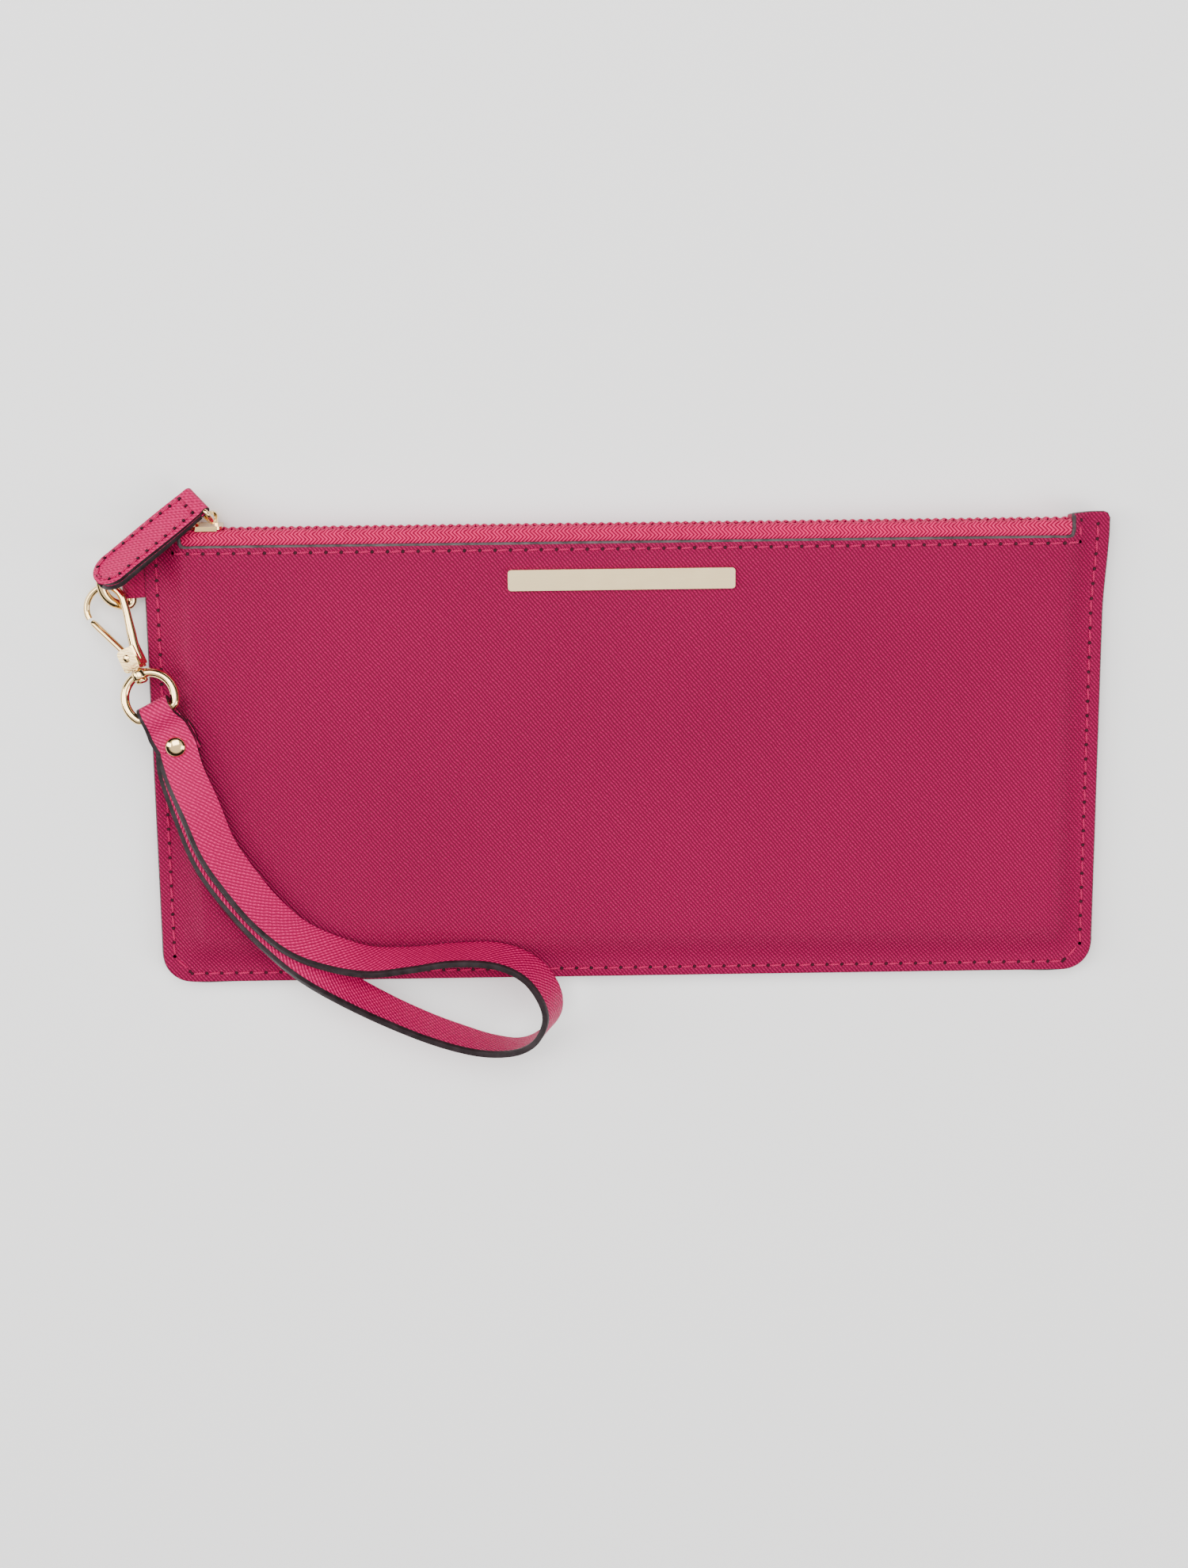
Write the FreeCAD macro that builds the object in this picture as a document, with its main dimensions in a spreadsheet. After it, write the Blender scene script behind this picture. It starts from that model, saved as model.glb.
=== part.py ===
import FreeCAD, Part
import os
from math import acos, atan2, cos, degrees, hypot, radians, sin

import Sketcher
from FreeCAD import Placement, Rotation, Vector

# Wristlet wallet lying on its back: millimetres, +X right, +Y towards the zip, +Z out of the front.
# The origin is the centre of the back panel's flat face, which rests on z = 0.

X_AXIS = Vector(1, 0, 0)
Y_AXIS = Vector(0, 1, 0)
Z_AXIS = Vector(0, 0, 1)

SIZES = [
    ("wallet_width", 229.0, "side edge to side edge"),
    ("wallet_height", 114.3, "bottom edge to the top of the corner tabs"),
    ("wallet_depth", 9.0, "outer face to outer face at the middle"),
    ("leather", 1.2, "panel leather"),
    ("margin", 4.0, "flat seam margin round the panels"),
    ("side_slope", 6.0, "width of the dish's slope at the sides"),
    ("bottom_slope", 8.0, "width of the dish's slope at the bottom"),
    ("corner_radius", 7.0, "bottom corners"),
    ("tab_corner_radius", 1.0, "corners of the tabs beside the mouth"),
    ("tab_width", 8.8, "corner tabs at the ends of the mouth"),
    ("mouth_drop", 5.6, "mouth edge below the tabs"),
    ("board", 0.4, "stiffening board"),
    ("board_top", 38.0, "upper edge of the boards"),
    ("board_foot", 42.0, "lower edge of the boards, below the centre"),
    ("lining", 0.2, "lining cloth"),
    ("lining_top", 49.5, "upper edge of the linings"),
    ("card_pocket", 0.3, "card pocket cloth"),
    ("card_pocket_width", 96.0, "card pocket"),
    ("card_pocket_height", 62.0, "card pocket"),
    ("tape", 0.4, "zip tape"),
    ("tape_half_length", 104.2, "zip tape, from the middle to one end"),
    ("tape_foot", 45.6, "lower edge of the tape inside the mouth"),
    ("tape_top", 55.4, "top face of the tape, over the teeth"),
    ("tape_wall", 2.9, "inner face of the tape from the zip's middle plane"),
    ("tape_bend", 0.8, "inner radius of the tape's bend"),
    ("tooth_pitch", 2.0, "tooth to tooth along one row"),
    ("tooth_count", 102.0, "teeth in one row"),
    ("tooth_length", 1.15, "along the zip"),
    ("tooth_height", 2.0, "down from the tape"),
    ("tooth_reach", 1.7, "from the neck gap to the tooth's back"),
    ("tape_edge", 0.05, "tape's edge behind the teeth's noses"),
    ("neck_gap", 0.4, "half the gap that the slider's neck runs in"),
    ("stop_length", 1.0, "end stops of the zip"),
    ("slider_length", 7.5, "slider body"),
    ("slider_width", 7.0, "slider top plate"),
    ("slider_keel_width", 5.2, "slider bottom plate"),
    ("slider_plate", 0.8, "slider plates"),
    ("slider_flange", 0.35, "slider flanges"),
    ("slider_run", 0.25, "running gap over and under the teeth"),
    ("slider_neck", 0.5, "width of the neck between the tooth rows"),
    ("slider_rest", 99.3, "middle of the closed slider, left of the centre"),
    ("bridge_height", 3.3, "bridge above the slider's top plate"),
    ("bridge_bar", 0.8, "bridge bar"),
    ("bridge_length", 5.4, "bridge"),
    ("bridge_width", 1.4, "bridge"),
    ("link_wire", 1.1, "pull link wire diameter"),
    ("link_radius", 5.0, "pull link arc, to the wire's centre"),
    ("link_leg", 1.5, "pull link, from the fold to the arc's centre"),
    ("link_corner", 1.0, "pull link corners"),
    ("link_reach", 4.8, "from the bridge's bar out to the puller's fold"),
    ("link_shift", 0.6, "puller's fold along its width from the bridge's bar"),
    ("puller_length", 30.0, "leather puller from its fold to its tip"),
    ("puller_root", 7.8, "leather puller at the fold"),
    ("puller_tip", 10.4, "leather puller near the tip"),
    ("puller_leather", 1.3, "one of the puller's two leathers"),
    ("thread", 0.5, "stitch width"),
    ("thread_rise", 0.25, "stitch height above the leather"),
    ("stitch", 2.6, "one visible stitch"),
    ("stitch_pitch", 3.6, "needle hole to needle hole"),
    ("thread_groove", 0.32, "groove that takes the back row beside the mouth"),
    ("seam_inset", 2.2, "seam stitch line from the bottom edge"),
    ("seam_side_inset", 2.8, "seam stitch line from the side edges"),
    ("mouth_inset", 1.4, "mouth stitch line below the mouth edge"),
    ("bar_length", 54.0, "plain name bar"),
    ("bar_height", 5.0, "plain name bar"),
    ("bar_thickness", 1.2, "plain name bar"),
    ("bar_corner", 0.8, "corners of the name bar"),
    ("bar_level", 43.0, "middle of the name bar above the centre"),
    ("bar_post_radius", 0.8, "name bar posts"),
    ("bar_post_spread", 22.0, "name bar posts from the bar's middle"),
    ("washer_radius", 1.8, "washers on the name bar posts"),
    ("washer", 0.4, "washer thickness"),
    ("ring_wire", 2.4, "D-ring wire diameter"),
    ("ring_radius", 6.3, "D-ring arc, to the wire's centre"),
    ("ring_leg", 1.4, "D-ring, from the bar to the arc's centre"),
    ("ring_corner", 1.2, "D-ring corners"),
    ("ring_bar_x", 118.0, "D-ring bar, left of the centre"),
    ("ring_bar_y", 43.7, "D-ring bar, above the centre"),
    ("ring_tilt", 32.0, "D-ring raised about its bar, degrees"),
    ("ring_tab_width", 9.0, "leather tab that holds the D-ring"),
    ("ring_tab_leather", 1.0, "tab leather round the bar"),
    ("ring_tab_tongue", 1.2, "tab leather between the panels"),
    ("ring_tab_reach", 3.6, "tab leather inside the seam"),
    ("pivot_gap", 0.05, "running clearance of pins in their holes"),
    ("hook_heading", 115.0, "hook's long axis from +X, degrees"),
    ("hook_pitch", 14.0, "hook's tip below its neck, degrees"),
    ("hook_roll", 20.0, "hook's spine above its gate, degrees"),
    ("hook_wire", 1.8, "hook wire diameter"),
    ("hook_eye_radius", 4.8, "hook eye, to the wire's centre"),
    ("hook_eye_level", 18.0, "eye's centre from the neck"),
    ("plate_width", 4.8, "hook's base plate"),
    ("plate_foot", 1.3, "lower edge of the plate from the neck"),
    ("plate_top", 7.0, "upper edge of the plate from the neck"),
    ("plate_depth", 3.2, "hook's base plate"),
    ("gate_depth", 1.0, "gate"),
    ("gate_width", 1.5, "gate"),
    ("gate_hub", 1.45, "gate hub radius"),
    ("gate_channel", 2.0, "channel for the gate in the plate"),
    ("gate_pin_radius", 0.6, "gate pin"),
    ("gate_pin_side", 0.4, "gate pin from the hook's axis"),
    ("gate_pin_level", 4.6, "gate pin from the neck"),
    ("spring_wire", 0.34, "gate spring wire diameter"),
    ("spring_radius", 0.95, "gate spring coil"),
    ("swivel_wire", 2.2, "swivel ring wire diameter"),
    ("swivel_radius", 6.1, "swivel ring arc, to the wire's centre"),
    ("swivel_bar_drop", 3.9, "strap bar from the arc's centre"),
    ("swivel_corner", 1.2, "swivel ring corners"),
    ("collar_radius", 1.9, "swivel ring collar"),
    ("collar_top", 1.1, "collar above the neck"),
    ("collar_foot", 1.3, "collar below the neck"),
    ("post_radius", 0.9, "swivel post"),
    ("post_head_radius", 1.5, "swivel post head"),
    ("post_head", 0.9, "swivel post head thickness"),
    ("strap_width", 10.0, "wrist strap"),
    ("strap_fold_width", 8.0, "wrist strap where it folds round the ring"),
    ("strap_leather", 1.5, "wrist strap, two bonded leathers"),
    ("rivet_cap_radius", 2.45, "strap rivet cap"),
    ("rivet_cap_height", 1.2, "strap rivet cap"),
    ("rivet_flange_radius", 2.3, "strap rivet base"),
    ("rivet_flange", 0.5, "strap rivet base thickness"),
    ("rivet_shaft", 0.8, "strap rivet shaft radius"),
]

# Middle line of the wrist strap from the rivet out round the loop and back: x, y, z and the lean
# of its width in degrees, 0 lying flat, 90 standing on edge and 180 flat with its other face up.
STRAP_LOOP = [
    (-106.2, -2.3, 13.6, 2),
    (-102.9, -11.0, 14.4, 20),
    (-99.4, -20.5, 14.8, 28),
    (-94.6, -28.3, 15.0, 32),
    (-88.6, -36.3, 15.0, 36),
    (-81.2, -43.2, 14.9, 43),
    (-73.2, -47.2, 14.6, 52),
    (-63.6, -49.8, 14.4, 65),
    (-53.5, -49.6, 14.2, 75),
    (-43.0, -48.5, 14.2, 79),
    (-32.4, -48.9, 14.1, 74),
    (-24.7, -52.3, 13.9, 68),
    (-20.0, -58.4, 13.5, 64),
    (-18.9, -64.6, 13.0, 69),
    (-22.1, -70.1, 12.7, 81),
    (-27.0, -72.7, 12.6, 88),
    (-33.8, -72.6, 12.4, 98),
    (-41.2, -70.7, 12.4, 106),
    (-49.8, -67.5, 12.4, 110),
    (-59.9, -62.7, 12.4, 114),
    (-69.7, -57.0, 12.6, 121),
    (-78.9, -49.9, 13.2, 140),
    (-86.1, -43.1, 12.9, 148),
    (-91.5, -37.1, 12.6, 153),
    (-97.0, -29.9, 12.2, 158),
    (-101.2, -22.8, 11.7, 163),
    (-104.6, -13.4, 11.1, 170),
    (-108.0, -2.0, 10.5, 178),
]

# The hook's neck, where the swivel ring turns on its post.
NECK = Vector(-116.2, 21.6, 10.9)

# The puller lies back over the wallet's corner: its length and its width point this way.
PULLER_ALONG = Vector(-0.764, -0.595, 0.277).normalize()
PULLER_ACROSS = Vector(0.58, -0.422, 0.697).normalize()
BRIDGE_SHIFT = Vector(-0.9, 0, 0)

# Middle of the rivet in the strap's upper layer.
RIVET = Vector(-107.9, 4.6, 13.6)

doc = FreeCAD.newDocument("wristlet_wallet")
sheet = doc.addObject("Spreadsheet::Sheet", "Sizes")
for row, (alias, value, note) in enumerate(SIZES, start=1):
    sheet.set(f"A{row}", note)
    sheet.set(f"B{row}", str(value))
    sheet.setAlias(f"B{row}", alias)
doc.recompute()

pieces = []


def size(alias):
    return float(sheet.get(alias))


def bind(owner, **expressions):
    """Tie properties to the sheet; a double underscore stands for a dot in a property's name."""
    for name, expression in expressions.items():
        owner.setExpression(name.replace("__", "."), expression)


def new_body(label):
    body = doc.addObject("PartDesign::Body", label)
    body.Label = label
    body.AllowCompound = True
    pieces.append(body)
    return body


def new_sketch(body, name, role="XY_Plane", lift=None):
    sketch = body.newObject("Sketcher::SketchObject", name)
    plane = [item for item in body.Origin.OriginFeatures if item.Role == role][0]
    sketch.AttachmentSupport = [(plane, "")]
    sketch.MapMode = "FlatFace"
    if lift:
        sketch.setExpression(".AttachmentOffset.Base.z", lift)
    return sketch


def rectangle(sketch, left, right, low, high):
    """Draw a rectangle whose sides are held at four expressions."""
    corners = [Vector(-1, -1, 0), Vector(1, -1, 0), Vector(1, 1, 0), Vector(-1, 1, 0)]
    first = sketch.GeometryCount
    for start, end in zip(corners, corners[1:] + corners[:1]):
        sketch.addGeometry(Part.LineSegment(start, end))
    for index in range(4):
        follow = first + (index + 1) % 4
        sketch.addConstraint(Sketcher.Constraint("Coincident", first + index, 2, follow, 1))
        level = "Horizontal" if index % 2 == 0 else "Vertical"
        sketch.addConstraint(Sketcher.Constraint(level, first + index))
    for kind, vertex, expression in (
        ("DistanceX", 1, left),
        ("DistanceX", 2, right),
        ("DistanceY", 1, low),
        ("DistanceY", 3, high),
    ):
        line = first + vertex - 1
        start_value = -1 if vertex == 1 else 1
        number = sketch.addConstraint(Sketcher.Constraint(kind, -1, 1, line, 1, start_value))
        sketch.setExpression(f"Constraints[{number}]", expression)


def circle(sketch, across, up, radius, gap=None):
    """A circle whose radius is bound to the sheet, with a running clearance where one is named."""
    value = size_of(radius) + (size_of(gap) if gap else 0)
    number = sketch.addGeometry(Part.Circle(Vector(across, up, 0), Z_AXIS, value))
    sketch.addConstraint(Sketcher.Constraint("DistanceX", -1, 1, number, 3, across))
    sketch.addConstraint(Sketcher.Constraint("DistanceY", -1, 1, number, 3, up))
    bound = sketch.addConstraint(Sketcher.Constraint("Radius", number, value))
    sketch.setExpression(f"Constraints[{bound}]", f"{radius} + {gap}" if gap else radius)


def size_of(expression):
    """Read a first value for an expression of the form Sizes.name or Sizes.name / 2."""
    name, _, share = expression.replace("Sizes.", "").partition(" / ")
    return size(name) / float(share or 1)


def outline(sketch, runs, closed=True):
    """Draw straight runs and arcs end to end, each held where its sizes put it."""
    for run in runs:
        if len(run) == 2:
            number = sketch.addGeometry(Part.LineSegment(run[0], run[1]))
        else:
            number = sketch.addGeometry(Part.Arc(run[0], run[1], run[2]))
        sketch.addConstraint(Sketcher.Constraint("Block", number))


def polygon(points):
    return list(zip(points, points[1:] + points[:1]))


def arc_run(centre, radius, start, end):
    """An arc from one angle to another, in degrees, as three points."""
    angles = (start, (start + end) / 2, end)
    return tuple(centre + Vector(cos(radians(a)), sin(radians(a)), 0) * radius for a in angles)


def pad(body, sketch, length, backwards=False, both_ways=False):
    feature = body.newObject("PartDesign::Pad", sketch.Name + "_pad")
    feature.Profile = sketch
    feature.setExpression("Length", length)
    feature.Reversed = backwards
    if both_ways:
        feature.Midplane = True
    doc.recompute()
    return feature


def pocket(body, sketch, length, backwards=False, both_ways=False):
    """Cut a pocket and make sure that it took something away."""
    before = body.Shape.Volume
    feature = body.newObject("PartDesign::Pocket", sketch.Name + "_pocket")
    feature.Profile = sketch
    feature.setExpression("Length", length)
    feature.Reversed = backwards
    if both_ways:
        feature.Midplane = True
    doc.recompute()
    if body.Shape.Volume >= before:
        raise ValueError(f"{feature.Name} cuts nothing")
    return feature


def loft(body, kind, lower, upper):
    feature = body.newObject(f"PartDesign::{kind}", lower.Name + "_loft")
    feature.Profile = lower
    feature.Sections = [upper]
    feature.Ruled = True
    doc.recompute()
    return feature


def pipe(body, profile, path):
    feature = body.newObject("PartDesign::AdditivePipe", path.Name + "_pipe")
    feature.Profile = profile
    feature.Spine = (path, [f"Edge{index + 1}" for index in range(path.GeometryCount)])
    doc.recompute()
    return feature


def round_edges(body, radius, chosen):
    """Fillet the edges of the body's newest shape that pass a test on their middle point."""
    base = body.Tip
    names = []
    for index, edge in enumerate(base.Shape.Edges, start=1):
        ends = [vertex.Point for vertex in edge.Vertexes]
        if len(ends) == 2 and chosen((ends[0] + ends[1]) * 0.5, ends[1] - ends[0]):
            names.append(f"Edge{index}")
    feature = body.newObject("PartDesign::Fillet", body.Label + "_round")
    feature.Base = (base, names)
    feature.setExpression("Radius", radius)
    doc.recompute()
    return feature


def revolve(body, sketch):
    """Turn a profile drawn on the XZ plane about the Z axis."""
    feature = body.newObject("PartDesign::Revolution", sketch.Name + "_turn")
    feature.Profile = sketch
    feature.ReferenceAxis = (sketch, ["V_Axis"])
    feature.Angle = 360
    doc.recompute()
    return feature


def shape_piece(label, shape):
    feature = doc.addObject("Part::Feature", label)
    feature.Label = label
    feature.Shape = shape
    pieces.append(feature)
    return feature


HALF_WIDTH = "Sizes.wallet_width / 2"
HALF_HEIGHT = "Sizes.wallet_height / 2"
MIDDLE = "Sizes.wallet_depth / 2"
DISH_SIDE = "(Sizes.wallet_width / 2 - Sizes.margin)"
FLAT_SIDE = "(Sizes.wallet_width / 2 - Sizes.margin - Sizes.side_slope)"
DISH_FOOT = "-(Sizes.wallet_height / 2 - Sizes.margin)"
FLAT_FOOT = "-(Sizes.wallet_height / 2 - Sizes.margin - Sizes.bottom_slope)"
MOUTH_EDGE = "(Sizes.wallet_height / 2 - Sizes.mouth_drop)"


def panel(label, side):
    """One dished leather panel; side is 1 for the front and -1 for the back."""
    body = new_body(label)
    sign = "+" if side > 0 else "-"
    edge = new_sketch(body, label + "_edge", lift=MIDDLE)
    rectangle(edge, "-" + HALF_WIDTH, HALF_WIDTH, "-" + HALF_HEIGHT, HALF_HEIGHT)
    pad(body, edge, "Sizes.leather", backwards=side < 0)

    outer_low = new_sketch(body, label + "_rise", lift=f"{MIDDLE} {sign} Sizes.leather")
    rectangle(outer_low, "-" + DISH_SIDE, DISH_SIDE, DISH_FOOT, HALF_HEIGHT)
    outer_face = "Sizes.wallet_depth" if side > 0 else "0 * Sizes.wallet_depth"
    outer_high = new_sketch(body, label + "_face", lift=outer_face)
    rectangle(outer_high, "-" + FLAT_SIDE, FLAT_SIDE, FLAT_FOOT, HALF_HEIGHT)
    loft(body, "AdditiveLoft", outer_low, outer_high)

    inner_low = new_sketch(body, label + "_hollow", lift=MIDDLE)
    rectangle(inner_low, "-" + DISH_SIDE, DISH_SIDE, DISH_FOOT, HALF_HEIGHT + " + 0.05")
    inner_high = new_sketch(body, label + "_inside", lift=f"{outer_face} - {side} * Sizes.leather")
    rectangle(inner_high, "-" + FLAT_SIDE, FLAT_SIDE, FLAT_FOOT, HALF_HEIGHT + " + 0.05")
    loft(body, "SubtractiveLoft", inner_low, inner_high)

    mouth = new_sketch(body, label + "_mouth", lift="Sizes.wallet_depth + 1")
    mouth_side = "(Sizes.wallet_width / 2 - Sizes.tab_width)"
    rectangle(mouth, "-" + mouth_side, mouth_side, MOUTH_EDGE, HALF_HEIGHT + " + 2")
    pocket(body, mouth, "Sizes.wallet_depth + 2")

    recess = new_sketch(body, label + "_recess", lift=MIDDLE)
    rectangle(
        recess,
        f"-{HALF_WIDTH} - 1",
        f"-{HALF_WIDTH} + Sizes.ring_tab_reach",
        "Sizes.ring_bar_y - Sizes.ring_tab_width / 2",
        "Sizes.ring_bar_y + Sizes.ring_tab_width / 2",
    )
    pocket(body, recess, "Sizes.ring_tab_tongue / 2", backwards=side > 0)

    bottom = -size("wallet_height") / 2
    edge_x = size("wallet_width") / 2
    round_edges(
        body,
        "Sizes.corner_radius",
        lambda middle, along: abs(middle.y - bottom) < 0.1
        and abs(abs(middle.x) - edge_x) < 0.1
        and abs(along.z) > 0.5,
    )
    top = size("wallet_height") / 2
    round_edges(
        body,
        "Sizes.tab_corner_radius",
        lambda middle, along: abs(middle.y - top) < 0.1
        and abs(abs(middle.x) - edge_x) < 0.1
        and abs(along.z) > 0.5,
    )
    return body


def flat_sheet(label, left, right, low, high, foot, thickness):
    body = new_body(label)
    sketch = new_sketch(body, label + "_outline", lift=foot)
    rectangle(sketch, left, right, low, high)
    pad(body, sketch, thickness)
    return body


def inner_layers(side):
    """The board and the lining behind one panel, counted from the leather inwards."""
    name = "front" if side > 0 else "back"
    inside = "Sizes.leather"
    board_foot = inside if side < 0 else f"Sizes.wallet_depth - {inside} - Sizes.board"
    flat_sheet(
        name + "_board",
        f"-({FLAT_SIDE} - 8)",
        f"{FLAT_SIDE} - 8",
        "-Sizes.board_foot",
        "Sizes.board_top",
        board_foot,
        "Sizes.board",
    )
    lining_foot = (
        f"{inside} + Sizes.board"
        if side < 0
        else f"Sizes.wallet_depth - {inside} - Sizes.board - Sizes.lining"
    )
    flat_sheet(
        name + "_lining",
        f"-({FLAT_SIDE} - 6)",
        f"{FLAT_SIDE} - 6",
        "-(Sizes.board_foot + 1)",
        "Sizes.lining_top",
        lining_foot,
        "Sizes.lining",
    )


def zip_tape(label, side):
    """A tape that lies flat over the teeth and bends down inside its panel."""
    body = new_body(label)
    sketch = new_sketch(body, label + "_section", role="YZ_Plane")
    middle = size("wallet_depth") / 2
    top = size("tape_top")
    thick = size("tape")
    wall = size("tape_wall")
    bend = size("tape_bend")
    edge = size("neck_gap") + size("tape_edge")
    bend_y = top - thick - bend

    def place(y, z):
        return Vector(y, middle + side * z, 0)

    diagonal = cos(radians(45))
    outer_arc = (
        place(bend_y, wall + thick),
        place(bend_y + (bend + thick) * diagonal, wall - bend + (bend + thick) * diagonal),
        place(top, wall - bend),
    )
    inner_arc = (
        place(top - thick, wall - bend),
        place(bend_y + bend * diagonal, wall - bend + bend * diagonal),
        place(bend_y, wall),
    )
    outline(
        sketch,
        [
            (place(size("tape_foot"), wall + thick), outer_arc[0]),
            outer_arc,
            (outer_arc[2], place(top, edge)),
            (place(top, edge), place(top - thick, edge)),
            (place(top - thick, edge), inner_arc[0]),
            inner_arc,
            (inner_arc[2], place(size("tape_foot"), wall)),
            (place(size("tape_foot"), wall), place(size("tape_foot"), wall + thick)),
        ],
    )
    pad(body, sketch, "2 * Sizes.tape_half_length", both_ways=True)
    return body


def tooth_section(sketch, side):
    """A tooth seen along the zip: a block sewn to the tape's under side."""
    middle = size("wallet_depth") / 2
    nose = size("neck_gap")
    back = nose + size("tooth_reach")
    top = size("tape_top") - size("tape")
    foot = top - size("tooth_height")
    corners = [(foot, nose), (top, nose), (top, back), (foot, back)]
    outline(sketch, polygon([Vector(y, middle + side * z, 0) for y, z in corners]))


def tooth_row(label, side):
    body = new_body(label)
    first = "-(Sizes.tooth_count - 1) * Sizes.tooth_pitch / 2"
    shift = " - Sizes.tooth_pitch / 4" if side > 0 else " + Sizes.tooth_pitch / 4"
    sketch = new_sketch(body, label + "_section", role="YZ_Plane", lift=first + shift)
    tooth_section(sketch, side)
    tooth = pad(body, sketch, "Sizes.tooth_length", both_ways=True)
    row = body.newObject("PartDesign::LinearPattern", label + "_row")
    row.Originals = [tooth]
    x_line = [item for item in body.Origin.OriginFeatures if item.Role == "X_Axis"][0]
    row.Direction = (x_line, [""])
    row.setExpression("Length", "(Sizes.tooth_count - 1) * Sizes.tooth_pitch")
    row.setExpression("Occurrences", "Sizes.tooth_count")
    body.Tip = row
    doc.recompute()
    return body


def zip_stops(label, end, block):
    """Stops at one end of the zip: one on each row, or a single block across both rows."""
    body = new_body(label)
    lift = f"{end} * (Sizes.tape_half_length - Sizes.stop_length / 2)"
    for side in (-1, 1):
        sketch = new_sketch(body, f"{label}_{'back' if side < 0 else 'front'}", "YZ_Plane", lift)
        tooth_section(sketch, side)
        pad(body, sketch, "Sizes.stop_length", both_ways=True)
    if block:
        middle = size("wallet_depth") / 2
        gap = size("neck_gap")
        top = size("tape_top") - size("tape")
        foot = top - size("tooth_height")
        sketch = new_sketch(body, label + "_bar", "YZ_Plane", lift)
        corners = [(foot, -gap), (top, -gap), (top, gap), (foot, gap)]
        outline(sketch, polygon([Vector(y, middle + z, 0) for y, z in corners]))
        pad(body, sketch, "Sizes.stop_length", both_ways=True)
    return body


def zip_slider():
    """Two plates joined by a neck, with the bridge on top; built with +Z as the wallet's +Y."""
    body = new_body("zip_slider")
    half = "Sizes.slider_length / 2"
    top_foot = "(Sizes.tape_top + Sizes.slider_run)"
    keel_top = "(Sizes.tape_top - Sizes.tape - Sizes.tooth_height - Sizes.slider_run)"
    plate = "Sizes.slider_plate"

    top = new_sketch(body, "slider_top", lift=top_foot)
    rectangle(top, "-" + half, half, "-Sizes.slider_width / 2", "Sizes.slider_width / 2")
    pad(body, top, plate)

    keel = new_sketch(body, "slider_keel", lift=keel_top)
    keel_side = "Sizes.slider_keel_width / 2"
    rectangle(keel, "-" + half, half, "-" + keel_side, keel_side)
    pad(body, keel, plate, backwards=True)

    neck = new_sketch(body, "slider_neck", lift=keel_top)
    rectangle(neck, "-" + half, "-0.4", "-Sizes.slider_neck / 2", "Sizes.slider_neck / 2")
    pad(body, neck, f"({top_foot}) - ({keel_top})")

    for turn in (-1, 1):
        flange = new_sketch(body, f"slider_flange_{'back' if turn > 0 else 'front'}", lift=top_foot)
        reach = ("Sizes.slider_width / 2 - Sizes.slider_flange", "Sizes.slider_width / 2")
        low, high = reach if turn > 0 else ("-" + reach[1], f"-({reach[0]})")
        rectangle(flange, "-" + half, half, low, high)
        pad(body, flange, "Sizes.tape", backwards=True)
        lip = new_sketch(body, f"slider_lip_{'back' if turn > 0 else 'front'}", lift=keel_top)
        reach = ("Sizes.slider_keel_width / 2 - Sizes.slider_flange", keel_side)
        low, high = reach if turn > 0 else ("-" + reach[1], f"-({reach[0]})")
        rectangle(lip, "-" + half, half, low, high)
        pad(body, lip, "Sizes.tape / 2 + Sizes.slider_run / 2")

    bridge = new_sketch(body, "slider_bridge", role="XZ_Plane")
    seat = size("tape_top") + size("slider_run") + size("slider_plate") - 0.1
    crown = seat + size("bridge_height") + 0.1
    foot = size("bridge_length") / 2
    bar = size("bridge_bar")
    bend = 1.4
    outline(
        bridge,
        [
            (Vector(-foot, seat, 0), Vector(-foot, crown - bend, 0)),
            arc_run(Vector(bend - foot, crown - bend, 0), bend, 180, 90),
            (Vector(bend - foot, crown, 0), Vector(foot - bend, crown, 0)),
            arc_run(Vector(foot - bend, crown - bend, 0), bend, 90, 0),
            (Vector(foot, crown - bend, 0), Vector(foot, seat, 0)),
            (Vector(foot, seat, 0), Vector(foot - bar, seat, 0)),
            (Vector(foot - bar, seat, 0), Vector(foot - bar, crown - bend, 0)),
            arc_run(Vector(foot - bend, crown - bend, 0), bend - bar, 0, 90),
            (Vector(foot - bend, crown - bar, 0), Vector(bend - foot, crown - bar, 0)),
            arc_run(Vector(bend - foot, crown - bend, 0), bend - bar, 90, 180),
            (Vector(bar - foot, crown - bend, 0), Vector(bar - foot, seat, 0)),
            (Vector(bar - foot, seat, 0), Vector(-foot, seat, 0)),
        ],
    )
    pad(body, bridge, "Sizes.bridge_width", both_ways=True)
    body.Placement = Placement(
        Vector(-size("slider_rest"), 0, size("wallet_depth") / 2), Rotation(X_AXIS, -90)
    )
    return body


def bridge_bar_centre():
    """Middle of the bridge's bar at rest, which the pull link hangs round."""
    seat = size("tape_top") + size("slider_run") + size("slider_plate")
    crown = seat + size("bridge_height")
    return Vector(-size("slider_rest"), crown - size("bridge_bar") / 2, size("wallet_depth") / 2)


def wire_d(label, radius, leg, corner, wire):
    """A closed D of wire: its bar along Y through the origin, its arc towards -X."""
    body = new_body(label)
    path = new_sketch(body, label + "_path")
    straight = radius - corner
    outline(
        path,
        [
            (Vector(0, 0, 0), Vector(0, straight, 0)),
            arc_run(Vector(-corner, straight, 0), corner, 0, 90),
            (Vector(-corner, radius, 0), Vector(-leg, radius, 0)),
            arc_run(Vector(-leg, 0, 0), radius, 90, 270),
            (Vector(-leg, -radius, 0), Vector(-corner, -radius, 0)),
            arc_run(Vector(-corner, -straight, 0), corner, 270, 360),
            (Vector(0, -straight, 0), Vector(0, 0, 0)),
        ],
    )
    section = new_sketch(body, label + "_section", role="XZ_Plane")
    circle(section, 0, 0, f"Sizes.{wire} / 2")
    pipe(body, section, path)
    return body


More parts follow.
